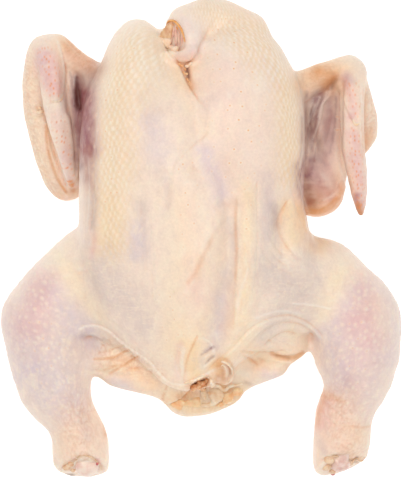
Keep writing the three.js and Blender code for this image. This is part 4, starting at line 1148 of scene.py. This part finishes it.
# painted shade in the furrows of the wrinkles, with the skin's own orange lines
furrowShade = np.zeros(len(co))
for near, mask, furrows in wrinkledPlaces(co, seen):
    furrowShade[near] = np.maximum(furrowShade[near], -mask * furrows)
paintOn(skinMesh, "furrow", furrowShade)
across, along = unrolled(co)  # the flat place that pores and stubble are laid out on
layer = skinMesh.attributes.new("unrolled", "FLOAT_VECTOR", "POINT")
layer.data.foreach_set("vector", np.column_stack([across, along, 0 * along]).astype(np.float32).ravel())


def linear(hexColour):
    parts = [int(hexColour[i:i + 2], 16) / 255 for i in (1, 3, 5)]
    return [*(c / 12.92 if c <= 0.04045 else ((c + 0.055) / 1.055) ** 2.4 for c in parts), 1.0]


def put(tree, kind, inputs=None, **settings):
    # one node, with its settings and with its inputs set or linked
    node = tree.nodes.new(kind)
    for name, value in settings.items():
        setattr(node, name, value)
    for name, value in (inputs or {}).items():
        if isinstance(value, bpy.types.NodeSocket):
            tree.links.new(value, node.inputs[name])
        else:
            node.inputs[name].default_value = value
    return node


def newMaterial(name):
    material = bpy.data.materials.new(name)
    material.use_nodes = True
    material.node_tree.nodes.clear()
    return material, material.node_tree


mixSockets = {"factor": 0, "first": 6, "second": 7, "made": 2}  # where a colour Mix node has them


def rawSkin():
    # Plucked, scalded and chilled poultry skin: light goes soft and warm inside it, fat and blood show
    # through in drifts, and a thin film of water gives a low broad shine.
    # Shade in its creases and deep folds, and highlights on its crests and rims, are painted into its colour.
    material, tree = newMaterial("raw_poultry_skin")
    finish = skinFinish
    place = put(tree, "ShaderNodeTexCoord").outputs["Object"]
    flatPlace = put(tree, "ShaderNodeAttribute", attribute_name="unrolled").outputs["Vector"]
    cloud = put(tree, "ShaderNodeTexNoise", {"Vector": place, "Scale": 1 / (finish["mottle"] * mm),
                                             "Detail": 3.0, "Roughness": 0.6})
    blotch = put(tree, "ShaderNodeTexNoise", {"Vector": place, "Scale": 1 / (finish["blotch"] * mm),
                                              "Detail": 4.0, "Roughness": 0.55})

    def laidOver(colour, tint, *shares):
        # a tint over the colour, as strong as its shares multiplied; a share is the name of values
        # painted on the skin, a socket or a number
        strength = None
        for share in shares:
            if isinstance(share, str):
                share = put(tree, "ShaderNodeAttribute", attribute_name=share).outputs["Fac"]
            if strength is not None:
                share = put(tree, "ShaderNodeMath", {0: strength, 1: share}, operation="MULTIPLY").outputs[0]
            strength = share
        mix = put(tree, "ShaderNodeMix", {mixSockets["factor"]: strength, mixSockets["first"]: colour,
                                          mixSockets["second"]: linear(tint)}, data_type="RGBA")
        return mix.outputs[mixSockets["made"]]

    def pigmented(colour, layers):
        for name, tint, strength in layers:
            spread = put(tree, "ShaderNodeMapRange", {"Value": blotch.outputs["Fac"], "From Min": 0.3,
                                                      "From Max": 0.7, "To Min": 0.8 * strength,
                                                      "To Max": 1.1 * strength})
            colour = laidOver(colour, tint, name, spread.outputs["Result"])
        return colour

    colour = pigmented(linear(finish["bare"]), finish["under"])
    drift = put(tree, "ShaderNodeMapping", {"Vector": place, "Scale": (1.3, 0.75, 1.0)}, vector_type="POINT")
    marble = put(tree, "ShaderNodeTexNoise", {"Vector": drift.outputs["Vector"], "Detail": 5.0,
                                              "Scale": 1 / (finish["marble"] * mm), "Roughness": 0.62,
                                              "Distortion": 0.6})
    for tint, begins, full, share in finish["marbling"]:
        vein = put(tree, "ShaderNodeMapRange", {"Value": marble.outputs["Fac"], "From Min": begins,
                                                "From Max": full, "To Max": share})
        colour = laidOver(colour, tint, vein.outputs["Result"])
    # painted shade in the creases and painted highlight on the crests
    for name, tint, share in finish["shadeAndHighlight"]:
        colour = laidOver(colour, tint, name, share)
    colour = pigmented(colour, finish["over"])
    for name, tint, share in finish["marks"]:
        colour = laidOver(colour, tint, name, share)

    # fine lines where the skin is taut, drawn out along the pull
    stretch = put(tree, "ShaderNodeMapping", {"Vector": place, "Scale": (0.14, 1.0, 0.5)},
                  vector_type="POINT")
    lines = put(tree, "ShaderNodeTexNoise", {"Vector": stretch.outputs["Vector"], "Detail": 2.0,
                                             "Scale": 1 / (finish["fineLines"] * mm), "Roughness": 0.5,
                                             "Distortion": 0.4})
    stretched = put(tree, "ShaderNodeMapRange", {"Value": lines.outputs["Fac"], "From Min": 0.52,
                                                 "From Max": 0.68, "To Max": 0.3})
    colour = laidOver(colour, finish["fineLine"], "taut", stretched.outputs["Result"])

    for name, tint, spacing, full, faded, along, share in finish["dots"]:
        moved = put(tree, "ShaderNodeVectorMath", {0: flatPlace, 1: (1, along, 1)}, operation="MULTIPLY")
        cell = put(tree, "ShaderNodeTexVoronoi", {"Vector": moved.outputs["Vector"], "Scale": 1 / spacing,
                                                  "Randomness": 0.8}, voronoi_dimensions="2D")
        dot = put(tree, "ShaderNodeMapRange", {"Value": cell.outputs["Distance"], "From Min": full / spacing,
                                               "From Max": faded / spacing, "To Min": 1.0, "To Max": 0.0})
        colour = laidOver(colour, tint, name, dot.outputs["Result"], share)

    shade = put(tree, "ShaderNodeMapRange", {"Value": cloud.outputs["Fac"], "From Min": 0.3,
                                             "From Max": 0.7, "To Min": 0.955, "To Max": 1.035})
    grey = {channel: shade.outputs["Result"] for channel in ("Red", "Green", "Blue")}
    grain = put(tree, "ShaderNodeCombineColor", grey)
    mottled = put(tree, "ShaderNodeMix", {mixSockets["factor"]: 1.0, mixSockets["first"]: colour,
                                          mixSockets["second"]: grain.outputs["Color"]},
                  data_type="RGBA", blend_type="MULTIPLY")

    bump = put(tree, "ShaderNodeBump", {"Height": cloud.outputs["Fac"], "Strength": finish["bumpStrength"],
                                        "Distance": finish["bump"] * mm})
    wettest, driest = finish["roughness"]
    wet = put(tree, "ShaderNodeMapRange", {"Value": blotch.outputs["Fac"], "From Min": 0.3,
                                           "From Max": 0.7, "To Min": wettest, "To Max": driest})
    shader = put(tree, "ShaderNodeBsdfPrincipled", {
        "Base Color": mottled.outputs[mixSockets["made"]], "Roughness": wet.outputs["Result"],
        "Normal": bump.outputs["Normal"], "IOR": finish["ior"], "Subsurface Weight": finish["subsurface"],
        "Subsurface Radius": finish["subsurfaceTint"], "Subsurface Scale": finish["subsurfaceReach"] * mm,
        "Coat Weight": finish["coat"], "Coat Roughness": finish["coatRoughness"],
        "Coat IOR": finish["coatIor"]})
    put(tree, "ShaderNodeOutputMaterial", {"Surface": shader.outputs["BSDF"]})
    return material


wetFilm = {  # what all the loose tissues have in common
    "bump": 0.4,  # mm
    "bumpStrength": 0.35,
    "ior": 1.42,  # fat and gelatine
    "subsurfaceReach": 1.6,  # mm, for red
    "subsurfaceTint": (1.0, 0.8, 0.62),
    "coatRoughness": 0.15,
    "coatIor": 1.34,
}


def wetTissue(name, tint, second, blotch, roughness, coat, subsurface):
    # two tones that run into each other in blotches of a size in mm, under a wet film
    material, tree = newMaterial(name)
    place = put(tree, "ShaderNodeTexCoord").outputs["Object"]
    cloud = put(tree, "ShaderNodeTexNoise", {"Vector": place, "Scale": 1 / (blotch * mm),
                                             "Detail": 4.0, "Roughness": 0.6})
    share = put(tree, "ShaderNodeMapRange", {"Value": cloud.outputs["Fac"], "From Min": 0.38,
                                             "From Max": 0.62})
    colour = put(tree, "ShaderNodeMix", {mixSockets["factor"]: share.outputs["Result"],
                                         mixSockets["first"]: linear(tint),
                                         mixSockets["second"]: linear(second)}, data_type="RGBA")
    bump = put(tree, "ShaderNodeBump", {"Height": cloud.outputs["Fac"], "Strength": wetFilm["bumpStrength"],
                                        "Distance": wetFilm["bump"] * mm})
    shader = put(tree, "ShaderNodeBsdfPrincipled", {
        "Base Color": colour.outputs[mixSockets["made"]], "Roughness": roughness,
        "Normal": bump.outputs["Normal"], "IOR": wetFilm["ior"], "Subsurface Weight": subsurface,
        "Subsurface Radius": wetFilm["subsurfaceTint"],
        "Subsurface Scale": wetFilm["subsurfaceReach"] * mm, "Coat Weight": coat,
        "Coat Roughness": wetFilm["coatRoughness"], "Coat IOR": wetFilm["coatIor"]})
    put(tree, "ShaderNodeOutputMaterial", {"Surface": shader.outputs["BSDF"]})
    return material


skinMaterial = rawSkin()
# the cut cartilage of a joint, wet and smooth: milky, with a sharp gloss and a faint blush
gristle = wetTissue("wet_gristle", tint="#f6e2d2", second="#efcbbc", blotch=5.0,
                    roughness=0.28, coat=0.5, subsurface=0.4)
# the same where blood has soaked in: greyer and pinker
bloodshotGristle = wetTissue("bloodshot_gristle", tint="#f0d6c8", second="#e3bcb0", blotch=4.0,
                             roughness=0.28, coat=0.5, subsurface=0.4)
# muscle torn along its fibres: dull pink with paler strands
leanMeat = wetTissue("torn_lean_meat", tint="#e0aa98", second="#f3d5c0", blotch=5.0,
                     roughness=0.38, coat=0.4, subsurface=0.4)
# skin that has dried thin at its cut edge: light shines through it, glassy orange
glowingRim = wetTissue("thin_dried_rim", tint="#f8bc7a", second="#e89a54", blotch=3.0,
                       roughness=0.32, coat=0.45, subsurface=0.5)
# shreds of gut wall and fat, torn out by hand: moist, patchy orange
ventMeat = wetTissue("torn_vent_tissue", tint="#e29c68", second="#f5cda0", blotch=2.5,
                     roughness=0.36, coat=0.4, subsurface=0.35)
# soft fat in small lobes: creamy, with a greasy shine
softFat = wetTissue("soft_yellow_fat", tint="#fbe6cf", second="#f4cfae", blotch=4.5,
                    roughness=0.33, coat=0.4, subsurface=0.45)
# a membrane pulled thin: see-through tan over what lies under it
webSkin = wetTissue("see_through_membrane", tint="#e8c49a", second="#d6a277", blotch=3.5,
                    roughness=0.3, coat=0.5, subsurface=0.5)
# clotted blood, dried from the outside: deep pink, with a jelly's gloss
bloodClot = wetTissue("clotted_blood", tint="#b8434f", second="#d98278", blotch=2.0,
                      roughness=0.3, coat=0.5, subsurface=0.4)
# sinew and skin torn at the joint: straw-coloured, half matt
hockTissue = wetTissue("torn_sinew_at_the_hock", tint="#f0d3b4", second="#dcb08a", blotch=3.0,
                       roughness=0.34, coat=0.4, subsurface=0.35)
# firm fat under the tail's skin: glassy, apricot to cream
tailFat = wetTissue("glassy_tail_fat", tint="#ffe0b6", second="#f6c08c", blotch=5.0,
                    roughness=0.3, coat=0.5, subsurface=0.5)
# the tail's glands through thinner skin: the same gloss, paler
paleLobe = wetTissue("pale_tail_lobe", tint="#fae3c6", second="#f0cca4", blotch=4.0,
                     roughness=0.3, coat=0.5, subsurface=0.5)
# a torn edge of skin that has rolled up: pale and slightly dry
tornEdge = wetTissue("torn_skin_edge", tint="#ffe9d2", second="#fcd4ae", blotch=3.0,
                     roughness=0.36, coat=0.35, subsurface=0.4)

finished(skin, skinMaterial)
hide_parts("bird")
skinTree = treeOf(skinMesh)


def skinUnder(x, y):
    # the point of the skin, in mm, that the plan shows at a place
    eye = Vector((0, 0, plan["eye"]))
    hit = skinTree.ray_cast(eye * mm, Vector((x, y, plan["level"])) - eye)[0]
    return np.array(hit) / mm if hit else np.array([x, y, 0.0])


def addLump(bm, at, radii, turn, seed, uneven=0.28, fineness=0.45):
    # a lump whose surface swells and sinks by a share of its size
    place = Matrix.Translation(Vector(at)) @ Matrix.Rotation(turn, 4, "Z") @ Matrix.Diagonal((*radii, 1))
    made = bmesh.ops.create_icosphere(bm, subdivisions=4, radius=1, matrix=place)
    for v in made["verts"]:
        off = v.co - Vector(at)
        v.co += off * uneven * noise.noise(v.co * fineness + Vector((seed, 0, 0)))


def addStrand(bm, line, radii, sides=10):
    # a round strand through points in mm, closed at both ends
    rings = []
    for i, at in enumerate(line):
        ahead = line[min(i + 1, len(line) - 1)] - line[max(i - 1, 0)]
        ahead = ahead / np.linalg.norm(ahead)
        side = np.cross(ahead, (0, 0, 1))
        side = side / max(np.linalg.norm(side), 1e-6)
        up = np.cross(side, ahead)
        ring = []
        for k in range(sides):
            a = 2 * math.pi * k / sides
            ring.append(bm.verts.new(at + radii[i] * (math.cos(a) * side + math.sin(a) * up)))
        rings.append(ring)
    for lower, upper in zip(rings, rings[1:]):
        for k in range(sides):
            bm.faces.new((lower[k], lower[(k + 1) % sides], upper[(k + 1) % sides], upper[k]))
    bm.faces.new(rings[0][::-1])
    bm.faces.new(rings[-1])


def dropCrumbs(mesh, fewest=100):
    # takes out the scraps of a few faces that a remesh leaves where a strand runs thin
    bm = bmesh.new()
    bm.from_mesh(mesh)
    crumbs = []
    for start in bm.verts:
        if start.tag:
            continue
        start.tag = True
        island = [start]
        for v in island:
            for edge in v.link_edges:
                other = edge.other_vert(v)
                if not other.tag:
                    other.tag = True
                    island.append(other)
        if len(island) < fewest:
            crumbs += island
    bmesh.ops.delete(bm, geom=crumbs, context="VERTS")
    bm.to_mesh(mesh)
    bm.free()


def laidStrand(bm, path, radius, lift, wobble, deepest=42, atEnds=0.35):
    # a strand that follows the skin and tapers to its ends
    line = np.array([skinUnder(x, y) for x, y in smoothLine(onPlan(path), 6)])
    line = line[line[:, 2] > max(2, line[:, 2].max() - deepest)]  # what runs off the bird's edge is left out
    z = np.convolve(np.pad(line[:, 2] + lift, 2, "edge"), np.ones(5) / 5, "valid")
    share = np.linspace(0, 1, len(line))
    radii = radius * (atEnds + (1 - atEnds) * np.sin(np.pi * np.clip(share, 0.04, 0.96)) ** 0.6)
    radii *= 1 + wobble * np.array([noise.noise(Vector((p[0] * 0.5, p[1] * 0.5, radius))) for p in line])
    addStrand(bm, np.column_stack([line[:, :2], z]), radii)


def addTissue(name, tissue):
    # The lumps, strands and ribs of one kind, joined into one closed mesh and rounded off.
    # lumps: place on the plan, radii in mm, turn, and for some how far above the skin in mm, where
    # the others are raised by a share of their height; strands: radius in mm, how far above the skin
    # in mm, path on the plan; ribs: paths on the plan, between two levels in mm; voxel: how fine the
    # mesh is, in mm; rounds: how much it is rounded off; wobble: how uneven a strand's thickness is
    bm = bmesh.new()
    for n, (spot, radii, turn, *lift) in enumerate(tissue.get("lumps", [])):
        x, y, z = skinUnder(*onPlan([spot])[0])
        raised = lift[0] if lift else tissue["raised"] * radii[2]
        addLump(bm, (x, y, z + raised), radii, turn, tissue["seed"] + n)
    for radius, lift, path in tissue.get("strands", []):
        laidStrand(bm, path, radius, lift, tissue["wobble"])
    for path in tissue.get("ribs", []):
        line = smoothLine(onPlan(path), 6)
        level = np.linspace(*tissue["levels"], len(line))
        line *= ((plan["eye"] - level) / (plan["eye"] - plan["level"]))[:, None]
        addStrand(bm, np.column_stack([line, level]), np.full(len(line), tissue["ribRadius"]))
    for v in bm.verts:
        v.co *= mm
    mesh = bpy.data.meshes.new(name)
    bmesh.ops.recalc_face_normals(bm, faces=bm.faces)
    bm.to_mesh(mesh)
    bm.free()
    piece = newPiece(name, mesh)
    mesh = evened(piece, tissue["voxel"])
    dropCrumbs(mesh)
    setCorners(mesh, relaxed(corners(mesh), neighbours(mesh), tissue["rounds"]))
    shadeSmooth(mesh)
    finished(piece, tissue["material"])


print("loose tissue: neck")
# the cut muscle in the neck, four bundles side by side
neckMuscle = {
    "voxel": 0.35, "rounds": 5, "wobble": 0.3, "material": leanMeat,
    "strands": [
        (1.2, 0.5, [(172.3, 23), (172, 32), (171, 44)]),
        (1.1, 0.0, [(175.6, 25), (176, 35), (176, 47)]),
        (1.0, 0.0, [(178.8, 28), (179.3, 37), (179, 48)]),
        (0.9, 0.0, [(182, 33), (182.4, 40), (181.5, 47)]),
    ],
}
addTissue("neck_muscle", neckMuscle)

# the dried edge of the skin round it
neckRim = {
    "voxel": 0.35, "rounds": 3, "wobble": 0.4, "material": glowingRim,
    "strands": [
        (0.9, 0.2, [(165, 27), (168.5, 21.5), (172, 20.5), (176, 22.5), (180.5, 28), (183.5, 35), (185, 42)]),
        (0.5, 0.3, [(172, 23.5), (177, 28), (181, 35)]),
    ],
}
addTissue("neck_rim", neckRim)

# scraps in the torn fold below it
neckScraps = {
    "voxel": 0.4, "rounds": 3, "seed": 80, "raised": 0.2, "material": ventMeat,
    "lumps": [
        ((182, 66), (1.3, 1.0, 0.9), 0.4),
        ((185, 69), (1.1, 1.2, 0.9), 0.0),
        ((184, 73), (0.9, 1.2, 0.8), 0.6),
        ((187, 74), (0.9, 1.1, 0.8), -0.3),
        ((187, 79), (1.0, 1.2, 0.8), 0.2),
        ((189.5, 82), (0.8, 1.1, 0.8), 0.5),
        ((190.5, 87), (0.9, 1.2, 0.8), 0.1),
        ((179.5, 64), (1.2, 0.9, 0.8), 0.2),
    ],
}
addTissue("neck_scraps", neckScraps)

# fat along its left side and at the fold
neckFat = {
    "voxel": 0.5, "rounds": 3, "seed": 0, "material": softFat,
    "lumps": [
        ((160.5, 37.5), (1.8, 1.8, 1.8), 0.0, 1.4),
        ((163.5, 41.5), (1.8, 1.8, 1.8), 0.0, 1.4),
        ((167, 45.5), (1.8, 1.8, 1.8), 0.0, 1.2),
        ((162, 37.5), (2.2, 1.3, 1.4), -0.3, 2.4),
        ((165.5, 40.5), (1.8, 1.4, 1.5), -0.6, 2.4),
        ((169.3, 41), (1.4, 2.3, 1.8), 0.3, 2.2),
        ((167, 45), (1.3, 1.2, 1.2), 0.3, 1.4),
        ((174.6, 49.6), (2.8, 2.0, 2.0), 0.35, 1.8),
        ((171.5, 47.5), (1.5, 1.3, 1.3), 0.3, 1.0),
        ((187.5, 66), (2.0, 1.3, 1.1), 0.0, 0.6),
        ((190.5, 63.5), (1.5, 1.1, 1.0), 0.5, 0.6),
    ],
}
addTissue("neck_fat", neckFat)

# ribs of the torn membrane between the neck's cut and the left breast
neckWeb = {
    "voxel": 0.45, "rounds": 3, "ribRadius": 1.1, "levels": (74.6, 76.6), "material": webSkin,
    "ribs": [
        [(172, 21), (171, 31), (169, 41)],
        [(169.5, 23), (168.5, 31), (167, 40)],
        [(167, 25.5), (166, 32), (165, 39)],
        [(164.8, 28.5), (164, 33), (163, 38)],
        [(162.5, 31.5), (161.8, 34), (161, 37)],
    ],
}
addTissue("neck_web", neckWeb)

print("loose tissue: vent and torn rims")
# shreds that hang in the open vent
ventTissue = {
    "voxel": 0.5, "rounds": 3, "seed": 60, "raised": 0.3, "material": ventMeat,
    "lumps": [
        ((193.5, 388), (2.6, 2.4, 3.0), 0.4),
        ((199, 386.5), (2.2, 2.4, 2.6), -0.2),
        ((203.5, 383.5), (2.0, 2.0, 2.4), 0.6),
        ((198.5, 382), (1.5, 1.2, 1.6), 0.3),
        ((207.5, 380.5), (1.5, 1.8, 2.2), 0.1),
        ((203, 389), (2.2, 1.8, 2.0), 0.1),
    ],
}
addTissue("vent_tissue", ventTissue)

# rolled rims of the skin: vent, the knob beside it, keel, and the nicks of both wings
tornRims = {
    "voxel": 0.45, "rounds": 2, "wobble": 0.6, "material": tornEdge,
    "strands": [
        (1.3, -0.1, [(207.5, 377), (210.5, 379), (212.5, 383), (216, 385), (219, 386), (222, 389),
                     (225.5, 389.5), (228.5, 387), (232, 385.5), (238, 385), (243, 383.5)]),
        (1.0, 0.0, [(210, 383), (213, 386.5), (217, 387.5)]),
        (0.9, 0.1, [(221, 362), (224, 361.5), (228, 364), (231.5, 369), (232, 375)]),
        (0.5, 0.1, [(220.5, 366.5), (223, 365), (225.5, 368), (225.5, 372)]),
        (1.0, 0.0, [(184, 383.5), (190, 381.5), (196, 379.5), (201, 377.5), (206, 375)]),
        (0.8, 0.2, [(51, 102.5), (54, 101), (58, 101.5), (62, 98.5), (63.5, 94)]),
        (1.3, 0.0, [(36.5, 112), (39.5, 112.5), (43, 110.5)]),
        (1.2, -0.1, [(38.5, 107), (41, 109)]),
        (0.9, 0.1, [(352.5, 119), (355.5, 124.5), (359.5, 123.5)]),
    ],
}
addTissue("torn_skin_rims", tornRims)

print("loose tissue: hocks")
# sinew and skin round both knobs of the leg bones
hockShreds = {
    "voxel": 0.5, "rounds": 4, "seed": 40, "raised": 0.1, "wobble": 0.6, "material": hockTissue,
    "lumps": [
        ((67, 467), (2.8, 2.0, 1.8), 0.5),
        ((71, 464.5), (2.2, 1.8, 1.6), 0.1),
        ((73, 470), (2.0, 1.6, 1.4), 0.1),
        ((329, 460), (3.4, 3.0, 2.4), -0.3),
        ((327, 467), (3.0, 2.6, 2.4), 0.2),
        ((332, 471), (2.4, 2.2, 2.2), 0.2),
        ((350, 464), (2.2, 1.4, 1.4), 0.4),
    ],
    "strands": [
        (0.7, 0.2, [(348, 458), (352, 462), (356, 458), (361, 461), (366, 457), (370, 453)]),
        (0.7, 0.1, [(60, 470), (66, 466), (71, 467), (74, 462), (79, 458)]),
        (0.8, 0.2, [(76, 457.5), (84, 455.5), (92, 458), (98, 463), (102, 470)]),
        (0.8, 0.2, [(327, 457), (335, 456), (343, 458), (350, 458)]),
    ],
}
addTissue("hock_tissue", hockShreds)

# a clot at each hock
bloodSpots = {
    "voxel": 0.4, "rounds": 3, "seed": 90, "raised": 0.1, "material": bloodClot,
    "lumps": [
        ((96.5, 463.5), (1.5, 1.8, 1.0), 0.3),
        ((333, 474), (1.6, 1.3, 1.2), 0.2),
    ],
}
addTissue("blood_spots", bloodSpots)

print("loose tissue: tail")
# fat that stands up through the tail's skin
tailLumps = {
    "voxel": 0.5, "rounds": 6, "seed": 20, "raised": -0.33, "material": tailFat,
    "lumps": [
        ((196.5, 401.5), (3.2, 4.4, 2.4), 0.1),
        ((189.5, 403), (2.8, 2.8, 1.8), 0.2),
        ((181.5, 402.5), (4.4, 2.2, 1.9), -0.3),
        ((228.5, 397), (4.0, 4.6, 2.6), -0.5),
        ((237.5, 391), (3.6, 3.6, 2.4), -0.4),
        ((222, 404), (4.4, 1.8, 1.8), 0.4),
        ((177, 406), (4.2, 2.4, 1.7), -0.5),
    ],
}
addTissue("tail_fat", tailLumps)

# the paler lobes between them
tailLobes = {
    "voxel": 0.5, "rounds": 6, "seed": 30, "raised": -0.33, "material": paleLobe,
    "lumps": [
        ((216, 395), (5.6, 5.2, 3.0), 0.2),
        ((203.5, 393.5), (2.0, 5.0, 2.6), 0.25),
        ((208, 404.5), (5.6, 1.6, 1.8), 0.1),
    ],
}
addTissue("tail_lobes", tailLobes)

print("gristle on the leg bones")
legHeads = {
    "voxel": 0.5,  # mm
    "rounds": 60,
    "ownShape": 0.3,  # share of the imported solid's shape that stays
    "eggShape": 0.72,
    "waves": [(4.5, 0.35), (1.8, 0.12)],  # size and height in mm
    "left": gristle,
    "right": bloodshotGristle,
}
for side in ("left", "right"):
    node = f"{side}_knuckle"
    piece = newPiece(f"{side}_knuckle_gristle", welded(node))
    mesh = evened(piece, legHeads["voxel"])
    at = relaxed(corners(mesh), neighbours(mesh), legHeads["rounds"])
    middle, half = (at.max(0) + at.min(0)) / 2, (at.max(0) - at.min(0)) / 2
    reach = (at - middle) / half
    egg = reach / np.linalg.norm(reach, axis=1)[:, None]
    at = middle + half * (legHeads["ownShape"] * reach + legHeads["eggShape"] * egg)
    setCorners(mesh, at)
    waves = sum(height * noiseAt(at, size) for size, height in legHeads["waves"])
    at += outward(mesh) * waves[:, None]
    setCorners(mesh, at)
    shadeSmooth(mesh)
    finished(piece, legHeads[side])
    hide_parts(node)

studio = {
    "floor": 3.0,  # m across
    "floorTint": "#bcbcbc",
    "floorGlow": 0.75,
    "world": 0.55,
    "key": {"place": (-0.5, 0.55, 1.9), "size": 1.1, "watts": 12.6, "tint": "#fffaf6"},
    "fill": {"place": (0.6, -0.75, 1.7), "size": 1.3, "watts": 8.4, "tint": "#fbfdff"},
    "lens": 360.0,  # mm
    "cameraAbove": 3.025,  # m over the floor; the frame is then 300 mm tall at the height of the limbs
}


def addFloor():
    bm = bmesh.new()
    bmesh.ops.create_grid(bm, x_segments=1, y_segments=1, size=studio["floor"] / 2)
    mesh = bpy.data.meshes.new("floor")
    bm.to_mesh(mesh)
    bm.free()
    floor = newPiece("floor", mesh)
    # matt painted board: even and pale, with no shine
    material, tree = newMaterial("pale_board")
    shader = put(tree, "ShaderNodeBsdfPrincipled", {
        "Base Color": linear(studio["floorTint"]), "Roughness": 0.9, "Emission Color": linear("#ffffff"),
        "Emission Strength": studio["floorGlow"]})
    put(tree, "ShaderNodeOutputMaterial", {"Surface": shader.outputs["BSDF"]})
    mesh.materials.append(material)


def addLight(name, light):
    data = bpy.data.lights.new(name, "AREA")
    data.shape = "DISK"
    data.size = light["size"]
    data.energy = light["watts"]
    data.color = linear(light["tint"])[:3]
    lamp = bpy.data.objects.new(name, data)
    lamp.location = light["place"]
    lamp.rotation_euler = (-Vector(light["place"])).to_track_quat("-Z", "Y").to_euler()
    lamp.visible_camera = False
    bpy.context.scene.collection.objects.link(lamp)


def addCamera():
    data = bpy.data.cameras.new("above")
    data.lens = studio["lens"]
    data.clip_end = 20
    camera = bpy.data.objects.new("above", data)
    camera.location = (0, 0, studio["cameraAbove"])
    bpy.context.scene.collection.objects.link(camera)
    bpy.context.scene.camera = camera


print("studio")
addFloor()
addLight("key", studio["key"])
addLight("fill", studio["fill"])
addCamera()
world = bpy.data.worlds.new("studio")
world.use_nodes = True
world.node_tree.nodes["Background"].inputs["Color"].default_value = linear("#ffffff")
world.node_tree.nodes["Background"].inputs["Strength"].default_value = studio["world"]
bpy.context.scene.world = world
bpy.context.scene.view_settings.view_transform = "Standard"
